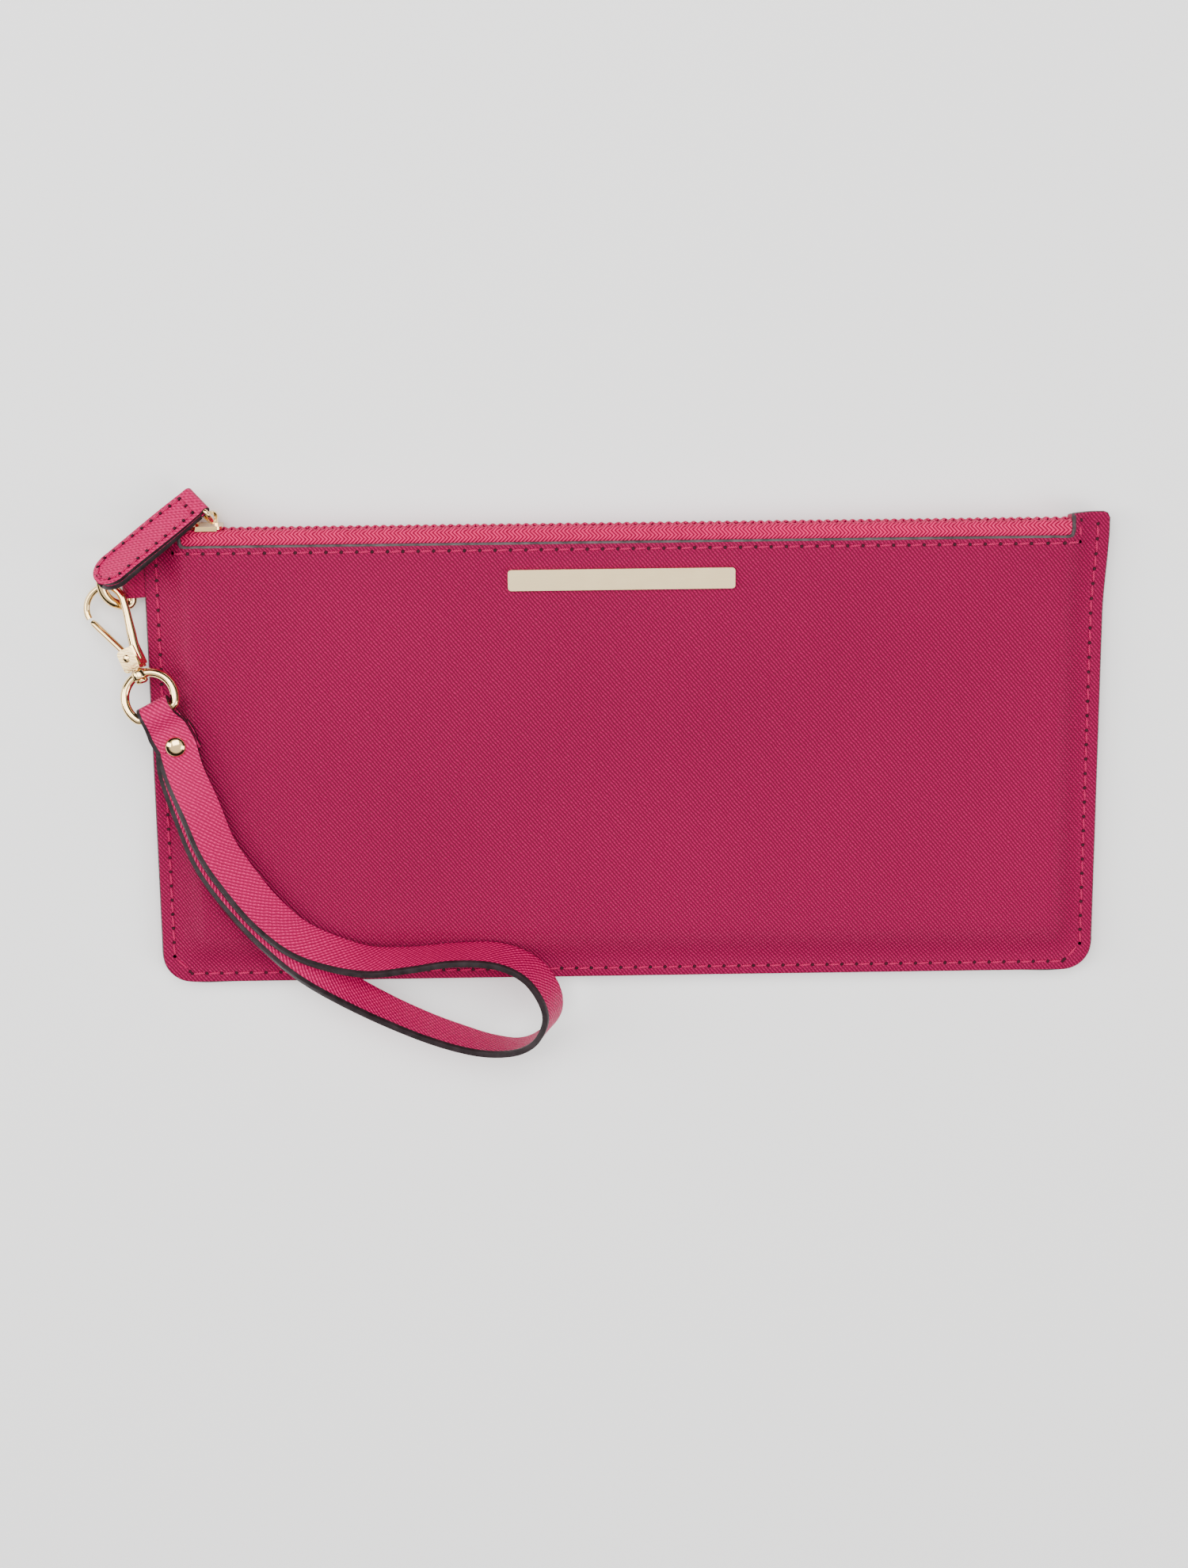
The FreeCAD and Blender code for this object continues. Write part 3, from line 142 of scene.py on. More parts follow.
def math_node(tree, kind, first, second=None, clamp=False):
    node = tree.nodes.new("ShaderNodeMath")
    node.operation = kind
    node.use_clamp = clamp
    for index, value in enumerate((first, second)):
        if value is None:
            continue
        if isinstance(value, (int, float)):
            node.inputs[index].default_value = value
        else:
            tree.links.new(value, node.inputs[index])
    return node.outputs[0]


def noise_node(tree, vector, scale, detail=2.0, roughness=0.5):
    node = tree.nodes.new("ShaderNodeTexNoise")
    node.inputs["Scale"].default_value = scale
    node.inputs["Detail"].default_value = detail
    node.inputs["Roughness"].default_value = roughness
    tree.links.new(vector, node.inputs["Vector"])
    return node.outputs["Fac"]


def cross_grain_group():
    """Pressed cross-grain: rows of short raised dashes along a diagonal, cut by the other. Metres."""
    group, into, out = new_group(
        "cross_grain",
        [("Vector", "Vector", None), ("Pitch", "Float", 1.0)],
        [("Height", "Float"), ("Raised", "Float")],
    )
    divide = group.nodes.new("ShaderNodeVectorMath")
    divide.operation = "DIVIDE"
    spread = group.nodes.new("ShaderNodeCombineXYZ")
    for axis in range(3):
        group.links.new(into.outputs["Pitch"], spread.inputs[axis])
    group.links.new(into.outputs["Vector"], divide.inputs[0])
    group.links.new(spread.outputs[0], divide.inputs[1])
    scaled = divide.outputs[0]
    wander = math_node(group, "SUBTRACT", noise_node(group, scaled, 620.0, 2.0), 0.5)
    waves = []
    for way, spacing, strain in (((0.766, 0.643, 0), 0.00070, 4.0), ((0.643, -0.766, 0), 0.00092, 7.0)):
        measure = group.nodes.new("ShaderNodeVectorMath")
        measure.operation = "DOT_PRODUCT"
        measure.inputs[1].default_value = tuple(part * 2 * math.pi / spacing for part in way)
        group.links.new(scaled, measure.inputs[0])
        drift = math_node(group, "MULTIPLY", wander, strain)
        phase = math_node(group, "ADD", measure.outputs["Value"], drift)
        wave = math_node(group, "ADD", math_node(group, "SINE", phase), 1.0)
        waves.append(math_node(group, "MULTIPLY", wave, 0.5))
    dashes = math_node(group, "ADD", math_node(group, "MULTIPLY", waves[1], 0.62), 0.38)
    height = math_node(group, "MULTIPLY", waves[0], dashes)
    fine = noise_node(group, scaled, 5200.0, 2.0)
    rough = math_node(group, "MULTIPLY", fine, 0.18)
    group.links.new(math_node(group, "ADD", height, rough), out.inputs["Height"])
    group.links.new(height, out.inputs["Raised"])
    return group


def tone_group():
    """Slow and fine changes of tone over a surface, about zero. Vector in metres."""
    group, into, out = new_group(
        "tone_drift", [("Vector", "Vector", None)], [("Slow", "Float"), ("Fine", "Float")]
    )
    slow = noise_node(group, into.outputs["Vector"], 14.0, 2.0)
    fine = noise_node(group, into.outputs["Vector"], 420.0, 3.0)
    group.links.new(slow, out.inputs["Slow"])
    group.links.new(fine, out.inputs["Fine"])
    return group


def herringbone_group():
    """Woven herringbone: diagonal ribs whose slope turns over at each column. Vector in metres."""
    group, into, out = new_group(
        "herringbone",
        [("Vector", "Vector", None), ("Column", "Float", 0.001), ("Rib", "Float", 0.0005)],
        [("Height", "Float"), ("Weft", "Float")],
    )
    split = group.nodes.new("ShaderNodeSeparateXYZ")
    group.links.new(into.outputs["Vector"], split.inputs[0])
    fold = math_node(group, "PINGPONG", split.outputs["Y"], into.outputs["Column"])
    slope = math_node(group, "ADD", split.outputs["X"], fold)
    turn = math_node(group, "DIVIDE", slope, into.outputs["Rib"])
    wave = math_node(group, "SINE", math_node(group, "MULTIPLY", turn, 2 * math.pi))
    rib = math_node(group, "MULTIPLY", math_node(group, "ADD", wave, 1.0), 0.5)
    cross = math_node(group, "DIVIDE", split.outputs["X"], 0.00021)
    weft = math_node(group, "SINE", math_node(group, "MULTIPLY", cross, 2 * math.pi))
    weft = math_node(group, "MULTIPLY", math_node(group, "ADD", weft, 1.0), 0.5)
    height = math_node(group, "ADD", rib, math_node(group, "MULTIPLY", weft, 0.2))
    group.links.new(height, out.inputs["Height"])
    group.links.new(weft, out.inputs["Weft"])
    return group


def scuff_group():
    """Fine wear: hairline scratches and small worn spots as one mask. Vector in metres."""
    group, into, out = new_group(
        "hairline_wear", [("Vector", "Vector", None)], [("Mask", "Float"), ("Height", "Float")]
    )
    mapping = group.nodes.new("ShaderNodeMapping")
    mapping.inputs["Rotation"].default_value = (0.3, 0.2, 0.7)
    mapping.inputs["Scale"].default_value = (240.0, 3200.0, 900.0)
    group.links.new(into.outputs["Vector"], mapping.inputs["Vector"])
    lines = noise_node(group, mapping.outputs[0], 1.0, 3.0)
    patches = noise_node(group, into.outputs["Vector"], 260.0, 2.0)
    both = math_node(group, "MULTIPLY", lines, patches)
    group.links.new(math_node(group, "MULTIPLY", both, 1.6, clamp=True), out.inputs["Mask"])
    group.links.new(lines, out.inputs["Height"])
    return group


GRAIN = cross_grain_group()
TONE = tone_group()
WEAVE = herringbone_group()
WEAR = scuff_group()


# ---------------------------------------------------------------- materials

def new_material(name):
    material = bpy.data.materials.new(name)
    material.use_nodes = True
    tree = material.node_tree
    return material, tree, tree.nodes["Principled BSDF"]


def coordinates_of(tree, use_map):
    if use_map:
        node = tree.nodes.new("ShaderNodeUVMap")
        node.uv_map = "surface"
        return node.outputs["UV"]
    return tree.nodes.new("ShaderNodeTexCoord").outputs["Object"]


def use_group(tree, group, **links):
    node = tree.nodes.new("ShaderNodeGroup")
    node.node_tree = group
    for name, value in links.items():
        if isinstance(value, (int, float)):
            node.inputs[name].default_value = value
        else:
            tree.links.new(value, node.inputs[name])
    return node


def ramp_node(tree, factor, stops):
    node = tree.nodes.new("ShaderNodeValToRGB")
    ramp = node.color_ramp
    while len(ramp.elements) < len(stops):
        ramp.elements.new(0.5)
    for element, (position, colour) in zip(ramp.elements, stops):
        element.position = position
        element.color = (*colour, 1)
    tree.links.new(factor, node.inputs["Fac"])
    return node.outputs["Color"]


def mix_node(tree, factor, first, second, kind="MIX"):
    node = tree.nodes.new("ShaderNodeMix")
    node.data_type = "RGBA"
    node.blend_type = kind
    for name, value in (("Factor", factor), ("A", first), ("B", second)):
        socket = node.inputs[name]
        if isinstance(value, (int, float)):
            socket.default_value = value
        elif isinstance(value, tuple):
            socket.default_value = (*value, 1)
        else:
            tree.links.new(value, socket)
    return node.outputs["Result"]


def map_range(tree, value, low, high):
    node = tree.nodes.new("ShaderNodeMapRange")
    node.inputs["To Min"].default_value = low
    node.inputs["To Max"].default_value = high
    tree.links.new(value, node.inputs["Value"])
    return node.outputs["Result"]


def bump(tree, shader, height, depth, strength=1.0):
    node = tree.nodes.new("ShaderNodeBump")
    node.inputs["Strength"].default_value = strength
    node.inputs["Distance"].default_value = depth
    tree.links.new(height, node.inputs["Height"])
    tree.links.new(node.outputs["Normal"], shader.inputs["Normal"])


def grained_leather(name, low, high, use_map=False, pitch=1.0, depth=0.00022, rough=(0.42, 0.58)):
    """Pressed leather: the dashes stand up and are painted paler than the ground, a painted highlight on
    the raised grain.
    """
    material, tree, shader = new_material(name)
    where = coordinates_of(tree, use_map)
    grain = use_group(tree, GRAIN, Vector=where, Pitch=pitch)
    tone = use_group(tree, TONE, Vector=where)
    # The raised dashes take the paler colour: painted highlight.
    base = mix_node(tree, grain.outputs["Raised"], low, high)
    drift = ramp_node(tree, tone.outputs["Slow"], [(0.3, (0.90, 0.88, 0.90)), (0.7, (1.0, 1.0, 1.0))])
    tree.links.new(mix_node(tree, 1.0, base, drift, "MULTIPLY"), shader.inputs["Base Color"])
    tree.links.new(map_range(tree, tone.outputs["Fine"], *rough), shader.inputs["Roughness"])
    shader.inputs["Specular IOR Level"].default_value = 0.14
    bump(tree, shader, grain.outputs["Height"], depth)
    return material


def edge_paint(name, low, high):
    """Painted cut edge: dark, slightly glossy, a little uneven."""
    material, tree, shader = new_material(name)
    where = coordinates_of(tree, False)
    tone = use_group(tree, TONE, Vector=where)
    colour = ramp_node(tree, tone.outputs["Fine"], [(0.3, low), (0.7, high)])
    tree.links.new(colour, shader.inputs["Base Color"])
    tree.links.new(map_range(tree, tone.outputs["Fine"], 0.34, 0.52), shader.inputs["Roughness"])
    shader.inputs["Specular IOR Level"].default_value = 0.18
    bump(tree, shader, tone.outputs["Fine"], 0.00006)
    return material


def suede_side(name, low, high):
    """The leather's plain back."""
    material, tree, shader = new_material(name)
    where = coordinates_of(tree, False)
    tone = use_group(tree, TONE, Vector=where)
    colour = ramp_node(tree, tone.outputs["Fine"], [(0.3, low), (0.7, high)])
    tree.links.new(colour, shader.inputs["Base Color"])
    tree.links.new(map_range(tree, tone.outputs["Fine"], 0.75, 0.95), shader.inputs["Roughness"])
    bump(tree, shader, tone.outputs["Fine"], 0.00008)
    return material


def thread_stuff(name, low, high):
    """Waxed thread with its twist showing."""
    material, tree, shader = new_material(name)
    where = coordinates_of(tree, False)
    mapping = tree.nodes.new("ShaderNodeMapping")
    mapping.inputs["Rotation"].default_value = (0, 0, math.radians(40))
    tree.links.new(where, mapping.inputs["Vector"])
    ply = tree.nodes.new("ShaderNodeTexWave")
    ply.inputs["Scale"].default_value = 900.0
    ply.inputs["Distortion"].default_value = 1.2
    tree.links.new(mapping.outputs[0], ply.inputs["Vector"])
    colour = ramp_node(tree, ply.outputs["Fac"], [(0.1, low), (0.8, high)])
    tree.links.new(colour, shader.inputs["Base Color"])
    tree.links.new(map_range(tree, ply.outputs["Fac"], 0.62, 0.46), shader.inputs["Roughness"])
    shader.inputs["Specular IOR Level"].default_value = 0.18
    bump(tree, shader, ply.outputs["Fac"], 0.00008)
    return material


def woven_tape(name, low, high):
    """Herringbone tape that follows the piece's own map."""
    material, tree, shader = new_material(name)
    where = coordinates_of(tree, True)
    weave = use_group(tree, WEAVE, Vector=where, Column=0.00125, Rib=0.00092)
    tone = use_group(tree, TONE, Vector=where)
    colour = ramp_node(tree, weave.outputs["Height"], [(0.15, low), (0.8, high)])
    fleck = ramp_node(tree, tone.outputs["Fine"], [(0.25, (0.86, 0.80, 0.83)), (0.6, (1, 1, 1))])
    tree.links.new(mix_node(tree, 1.0, colour, fleck, "MULTIPLY"), shader.inputs["Base Color"])
    tree.links.new(map_range(tree, weave.outputs["Weft"], 0.55, 0.78), shader.inputs["Roughness"])
    shader.inputs["Specular IOR Level"].default_value = 0.1
    bump(tree, shader, weave.outputs["Height"], 0.00020)
    return material


def plated_metal(name, colour, rough=(0.07, 0.17)):
    """Polished pale gold plate with hairlines and slightly duller worn spots."""
    material, tree, shader = new_material(name)
    where = coordinates_of(tree, False)
    wear = use_group(tree, WEAR, Vector=where)
    dull = tuple(channel * 0.86 for channel in colour)
    tree.links.new(mix_node(tree, wear.outputs["Mask"], colour, dull), shader.inputs["Base Color"])
    tree.links.new(map_range(tree, wear.outputs["Mask"], *rough), shader.inputs["Roughness"])
    shader.inputs["Metallic"].default_value = 1.0
    bump(tree, shader, wear.outputs["Height"], 0.000012, 0.5)
    return material


def plain_weave(name, low, high):
    """Thin lining cloth."""
    material, tree, shader = new_material(name)
    where = coordinates_of(tree, False)
    weave = use_group(tree, WEAVE, Vector=where, Column=0.0004, Rib=0.0008)
    colour = ramp_node(tree, weave.outputs["Height"], [(0.1, low), (0.9, high)])
    tree.links.new(colour, shader.inputs["Base Color"])
    tree.links.new(map_range(tree, weave.outputs["Weft"], 0.7, 0.9), shader.inputs["Roughness"])
    bump(tree, shader, weave.outputs["Height"], 0.0001)
    return material


def ribbed_leather(name, low, high):
    """The puller's leather: the same dashes, pressed into fine ribs across its length, their raised parts
    painted paler as a painted highlight.
    """
    material, tree, shader = new_material(name)
    where = coordinates_of(tree, True)
    split = tree.nodes.new("ShaderNodeSeparateXYZ")
    tree.links.new(where, split.inputs[0])
    turns = math_node(tree, "DIVIDE", split.outputs["Y"], 0.00077)
    wave = math_node(tree, "SINE", math_node(tree, "MULTIPLY", turns, 2 * math.pi))
    rib = math_node(tree, "MULTIPLY", math_node(tree, "ADD", wave, 1.0), 0.5)
    grain = use_group(tree, GRAIN, Vector=where, Pitch=1.1)
    tone = use_group(tree, TONE, Vector=where)
    height = math_node(tree, "ADD", math_node(tree, "MULTIPLY", rib, 0.5), grain.outputs["Height"])
    # Raised ribs and dashes take the paler colour: painted highlight.
    mask = math_node(tree, "MULTIPLY", height, 0.7, clamp=True)
    base = mix_node(tree, mask, low, high)
    tree.links.new(base, shader.inputs["Base Color"])
    tree.links.new(map_range(tree, tone.outputs["Fine"], 0.42, 0.56), shader.inputs["Roughness"])
    shader.inputs["Specular IOR Level"].default_value = 0.14
    bump(tree, shader, height, 0.00012)
    return material


# Each leather's second, paler colour is the painted highlight on its raised grain.
PANEL = grained_leather("panel_leather", (0.135, 0.0004, 0.024), (0.450, 0.003, 0.094))
STRAP = grained_leather(
    "strap_leather", (0.30, 0.0012, 0.052), (0.90, 0.012, 0.190), use_map=True, pitch=1.1
)
PULLER = ribbed_leather("puller_leather", (0.24, 0.001, 0.036), (0.70, 0.009, 0.140))
TAB = grained_leather("tab_leather", (0.19, 0.0008, 0.032), (0.50, 0.004, 0.100))
EDGE = edge_paint("edge_paint", (0.012, 0.008, 0.009), (0.030, 0.021, 0.024))
# Edge paint lightened for the mouth bead and the panels' rims: dark edge paint with a painted highlight.
EDGE_PAINT_AND_HIGHLIGHT = edge_paint("mouth_edge_paint_and_painted_highlight", (0.032, 0.024, 0.026), (0.100, 0.080, 0.085))
INSIDE = suede_side("leather_inside", (0.30, 0.03, 0.07), (0.38, 0.05, 0.10))
THREAD = thread_stuff("seam_thread", (0.24, 0.001, 0.036), (0.58, 0.009, 0.115))
# Near black for the needle holes: painted shade inside the holes.
HOLE_SHADE = edge_paint("needle_hole_shade", (0.020, 0.0002, 0.004), (0.040, 0.0006, 0.008))
TAPE = woven_tape("zip_cloth", (0.20, 0.0005, 0.024), (0.88, 0.012, 0.150))
COIL = thread_stuff("zip_coil", (0.40, 0.006, 0.05), (0.68, 0.03, 0.11))
LINING = plain_weave("lining_cloth", (0.28, 0.03, 0.07), (0.42, 0.06, 0.11))
BOARD = suede_side("board", (0.62, 0.58, 0.51), (0.74, 0.70, 0.62))
GOLD = plated_metal("gold_metal", (0.97, 0.70, 0.34))
PALE_GOLD = plated_metal("name_bar_metal", (1.0, 0.80, 0.47), (0.26, 0.40))
SPRING = plated_metal("spring_steel", (0.62, 0.62, 0.63), (0.2, 0.3))


# ---------------------------------------------------------------- shaping tools

def finish_piece(work, name, body, materials, replaced=(), smooth=True, turn=None):
    """Turn a bmesh, drawn in millimetres, into a piece that rides on a body."""
    if turn is not None:
        bmesh.ops.transform(work, matrix=turn, verts=work.verts)
    bmesh.ops.scale(work, vec=(MM, MM, MM), verts=work.verts)
    mesh = bpy.data.meshes.new(name)
    work.to_mesh(mesh)
    work.free()
    for material in materials:
        mesh.materials.append(material)
    if smooth:
        mesh.shade_smooth()
    piece = bpy.data.objects.new(name, mesh)
    scene.collection.objects.link(piece)
    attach(piece, body)
    if replaced:
        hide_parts(*replaced)
    return piece


def smooth_by_angle(work, degrees=40.0):
    """Keep hard corners hard on a smooth piece."""
    for edge in work.edges:
        if len(edge.link_faces) == 2 and edge.calc_face_angle(0) > math.radians(degrees):
            edge.smooth = False


def add_modifier(piece, kind, **settings):
    modifier = piece.modifiers.new(kind.lower(), kind)
    for key, value in settings.items():
        setattr(modifier, key, value)
    return modifier


def round_rims(piece, width, segments=2, degrees=50):
    """Round a thickened piece's sharp edges; the width is in millimetres."""
    add_modifier(
        piece,
        "BEVEL",
        width=width * MM,
        segments=segments,
        limit_method="ANGLE",
        angle_limit=math.radians(degrees),
    )


def soften(work, edges, width, segments=2):
    return bmesh.ops.bevel(
        work,
        geom=edges,
        offset=width,
        segments=segments,
        profile=0.5,
        affect="EDGES",
        material=-1,
        clamp_overlap=True,
    )


def block(work, centre, size, corner=0.0, rim=0.0, axis=2):
    """A box with rounded corners along one axis and softened rims."""
    made = bmesh.ops.create_cube(work, size=1.0)["verts"]
    bmesh.ops.scale(work, vec=size, verts=made)
    bmesh.ops.translate(work, vec=centre, verts=made)
    faces = {face for vertex in made for face in vertex.link_faces}
    if corner:
        upright = [
            edge
            for edge in {edge for face in faces for edge in face.edges}
            if abs((edge.verts[0].co - edge.verts[1].co).normalized()[axis]) > 0.9
        ]
        faces |= set(soften(work, upright, corner, 5)["faces"])
        faces = {face for face in work.faces if face in faces}
    if rim:
        flat = [face for face in faces if abs(face.normal[axis]) > 0.9]
        soften(work, list({edge for face in flat for edge in face.edges}), rim, 2)


def profile_circle(work, radius, centre, normal, sides=16):
    """A loop of edges round a wire's section."""
    made = bmesh.ops.create_circle(work, cap_ends=False, radius=radius, segments=sides)["verts"]
    turn = Vector((0, 0, 1)).rotation_difference(Vector(normal)).to_matrix()
    bmesh.ops.rotate(work, cent=(0, 0, 0), matrix=turn, verts=made)
    bmesh.ops.translate(work, vec=centre, verts=made)
    return list({edge for vertex in made for edge in vertex.link_edges})


def draw_straight(work, edges, offset):
    """Draw a line of edges out along an offset and give back its far end."""
    made = bmesh.ops.extrude_edge_only(work, edges=edges)["geom"]
    verts = [item for item in made if isinstance(item, bmesh.types.BMVert)]
    bmesh.ops.translate(work, vec=offset, verts=verts)
    edges = [item for item in made if isinstance(item, bmesh.types.BMEdge)]
    return [edge for edge in edges if all(vertex in verts for vertex in edge.verts)]


def draw_bend(work, edges, centre, degrees, steps, axis=(0, 0, 1)):
    """Draw a line of edges round a bend and give back its far end."""
    verts = list({vertex for edge in edges for vertex in edge.verts})
    last = bmesh.ops.spin(
        work,
        geom=verts + edges,
        cent=centre,
        axis=axis,
        angle=math.radians(degrees),
        steps=steps,
        use_merge=False,
        use_duplicate=False,
    )["geom_last"]
    return [item for item in last if isinstance(item, bmesh.types.BMEdge)]


def close_up(work, distance=0.002):
    """Merge what meets and turn the faces outwards."""
    bmesh.ops.remove_doubles(work, verts=work.verts, dist=distance)
    bmesh.ops.recalc_face_normals(work, faces=work.faces)


def wire_d(radius, leg, corner, wire, sides):
    """A closed D of wire: its bar along Y through the origin, its arc towards -X."""
    work = bmesh.new()
    straight = radius - corner
    edges = profile_circle(work, wire, (0, 0, 0), (0, 1, 0), sides)
    edges = draw_straight(work, edges, (0, straight, 0))
    edges = draw_bend(work, edges, (-corner, straight, 0), 90, 5)
    edges = draw_straight(work, edges, (corner - leg, 0, 0))
    edges = draw_bend(work, edges, (-leg, 0, 0), 180, 28)
    edges = draw_straight(work, edges, (leg - corner, 0, 0))
    edges = draw_bend(work, edges, (-corner, -straight, 0), 90, 5)
    draw_straight(work, edges, (0, straight, 0))
    close_up(work)
    return work


def turned(work, outline, steps):
    """Turn an open outline, given as (radius, height) pairs, into a closed round piece."""
    start = [work.verts.new((radius, 0, height)) for radius, height in outline]
    edges = [work.edges.new(pair) for pair in zip(start, start[1:])]
    bmesh.ops.spin(
        work,
        geom=start + edges,
        cent=(0, 0, 0),
        axis=(0, 0, 1),
        angle=2 * math.pi,
        steps=steps,
        use_merge=True,
        use_duplicate=False,
    )
    close_up(work, 0.0005)


def rod(name, spots, radii, sides):
    """A round bar of changing thickness through a few spots, as a mesh drawn in millimetres."""
    data = bpy.data.curves.new(name, "CURVE")
    data.dimensions = "3D"
    data.bevel_depth = 1.0
    data.bevel_resolution = sides
    data.use_fill_caps = True
    data.resolution_u = 8
    spline = data.splines.new("BEZIER")
    spline.bezier_points.add(len(spots) - 1)
    for point, spot, radius in zip(spline.bezier_points, spots, radii):
        point.co = spot
        point.radius = radius
        point.handle_left_type = "AUTO"
        point.handle_right_type = "AUTO"
    holder = bpy.data.objects.new(name, data)
    scene.collection.objects.link(holder)
    bpy.context.view_layer.update()
    made = bpy.data.meshes.new_from_object(holder.evaluated_get(bpy.context.evaluated_depsgraph_get()))
    bpy.data.objects.remove(holder)
    bpy.data.curves.remove(data)
    work = bmesh.new()
    work.from_mesh(made)
    bpy.data.meshes.remove(made)
    return work


def join_in(work, other):
    """Add one bmesh to another."""
    mesh = bpy.data.meshes.new("joined")
    other.to_mesh(mesh)
    other.free()
    work.from_mesh(mesh)
    bpy.data.meshes.remove(mesh)


def ease(value):
    """A soft step from 0 to 1."""
    value = min(max(value, 0.0), 1.0)
    return value * value * (3 - 2 * value)


# ---------------------------------------------------------------- wallet panels

WIDE = 229.0
HIGH = 114.3
SIDE = WIDE / 2
TOP = HIGH / 2
MID = 4.5
LEATHER = 1.2
MOUTH = TOP - 5.6
NOTCH = SIDE - 8.8
CORNER = 7.0
TAB_CORNER = 1.4
SIDE_MARGIN = 3.6
SIDE_SEAM = 2.8
FOOT_SEAM = 2.2
MOUTH_SEAM = 1.4


def panel_height(x, y, side=1):
    """Height of a panel's outer face above the zip's middle plane. The back one is a little flatter."""
    from_side = SIDE - abs(x)
    from_foot = y + TOP
    rise = ease((from_side - SIDE_MARGIN) / 7.4) * ease((from_foot - SIDE_MARGIN) / 9.4)
    puff = 0.16 * math.sin(x * 0.051 + 0.6) * math.sin(y * 0.047 + 1.1) * rise
    return LEATHER + (3.3 if side > 0 else 3.1) * rise + min(puff, 0.0) * 0.8


def round_corner(x, y):
    """Map the square at a corner onto a quarter disc: large at the foot, small at the tabs' tops."""
    radius = CORNER if y < 0 else TAB_CORNER
    inner_x = SIDE - radius
    inner_y = TOP - radius
    if abs(x) <= inner_x or abs(y) <= inner_y:
        return x, y
    across = (abs(x) - inner_x) / radius
    down = (abs(y) - inner_y) / radius
    reach = max(across, down)
    length = math.hypot(across, down)
    if length < 1e-6:
        return x, y
    share = reach / length
    return (
        math.copysign(inner_x + across * share * radius, x),
        math.copysign(inner_y + down * share * radius, y),
    )


def flare(work):
    """The wallet spreads a little towards its top right tab."""
    for vertex in work.verts:
        x, y, z = vertex.co
        vertex.co.x = x + 1.1 * ease((y - 32.0) / 22.0) * ease((x - 94.0) / 15.0)


def tab_level(y, height, side):
    """The back panel's tabs are cut a little lower, so that they hide behind the front's."""
    if side < 0 and y > MOUTH:
        return y - 0.33 * height * ease((y - MOUTH) / 3.0)
    return y


def panel(name, side, node):
    """One dished leather: a grid with the mouth cut out, its corners rounded and its middle raised."""
    work = bmesh.new()
    bmesh.ops.create_grid(work, x_segments=150, y_segments=76, size=0.5)
    bmesh.ops.scale(work, vec=(WIDE, HIGH, 1), verts=work.verts)
    for spot, normal in (
        ((NOTCH, 0, 0), (1, 0, 0)),
        ((-NOTCH, 0, 0), (1, 0, 0)),
        ((0, MOUTH, 0), (0, 1, 0)),
        ((SIDE - CORNER, 0, 0), (1, 0, 0)),
        ((CORNER - SIDE, 0, 0), (1, 0, 0)),
        ((0, CORNER - TOP, 0), (0, 1, 0)),
        ((SIDE - SIDE_MARGIN, 0, 0), (1, 0, 0)),
        ((SIDE_MARGIN - SIDE, 0, 0), (1, 0, 0)),
        ((0, SIDE_MARGIN - TOP, 0), (0, 1, 0)),
        ((SIDE - TAB_CORNER, 0, 0), (1, 0, 0)),
        ((TAB_CORNER - SIDE, 0, 0), (1, 0, 0)),
        ((0, TOP - TAB_CORNER, 0), (0, 1, 0)),
    ):
        bmesh.ops.bisect_plane(
            work,
            geom=list(work.verts) + list(work.edges) + list(work.faces),
            dist=0.0001,
            plane_co=spot,
            plane_no=normal,
        )
    gone = []
    for face in work.faces:
        middle = face.calc_center_median()
        if abs(middle.x) < NOTCH and middle.y > MOUTH:
            gone.append(face)
    bmesh.ops.delete(work, geom=gone, context="FACES")
    bmesh.ops.remove_doubles(work, verts=work.verts, dist=0.02)
    for vertex in work.verts:
        x, y = round_corner(vertex.co.x, vertex.co.y)
        height = panel_height(x, y, side)
        vertex.co = (x, tab_level(y, height, side), MID + side * height)
    flare(work)
    bmesh.ops.recalc_face_normals(work, faces=work.faces)
    upward = sum(face.normal.z for face in work.faces) * side
    if upward < 0:
        bmesh.ops.reverse_faces(work, faces=work.faces)
    # The rim takes the lightened edge paint: painted highlight on the cut edge.
    piece = finish_piece(work, name, "wallet", [PANEL, EDGE_PAINT_AND_HIGHLIGHT, INSIDE], [node])
    add_modifier(
        piece,
        "SOLIDIFY",
        thickness=LEATHER * MM,
        offset=-1.0,
        use_even_offset=True,
        material_offset=2,
        material_offset_rim=1,
    )
    round_rims(piece, 0.22)


panel("front_leather", 1, "front_panel")
panel("back_leather", -1, "back_panel")


def mouth_edge(name, side):
    """Painted bead along a panel's cut edge: down one tab, along the mouth and up the other tab. Its dark
    edge paint is lightened as a painted highlight.
    """
    radius = 0.46
    line = [(NOTCH + 0.02, y) for y in (TOP - 0.5, TOP - 2.6, MOUTH + 1.3)]
    line += [(NOTCH - 0.35, MOUTH + 0.35), (NOTCH - 1.3, MOUTH + 0.02)]
    line += [(NOTCH - 4.0 - 4.05 * step, MOUTH + 0.02) for step in range(26)]
    line += [(-x, y) for x, y in reversed(line) if x > 0.5]
    spots = []
    for x, y in line:
        height = panel_height(x, y, side)
        spots.append((x, tab_level(y, height, side), MID + side * (height - radius)))
    work = rod(name, spots, [radius] * len(spots), 3)
    flare(work)
    bmesh.ops.recalc_face_normals(work, faces=work.faces)
    finish_piece(work, name, "wallet", [EDGE_PAINT_AND_HIGHLIGHT])


mouth_edge("mouth_edge_front", 1)
mouth_edge("mouth_edge_back", -1)


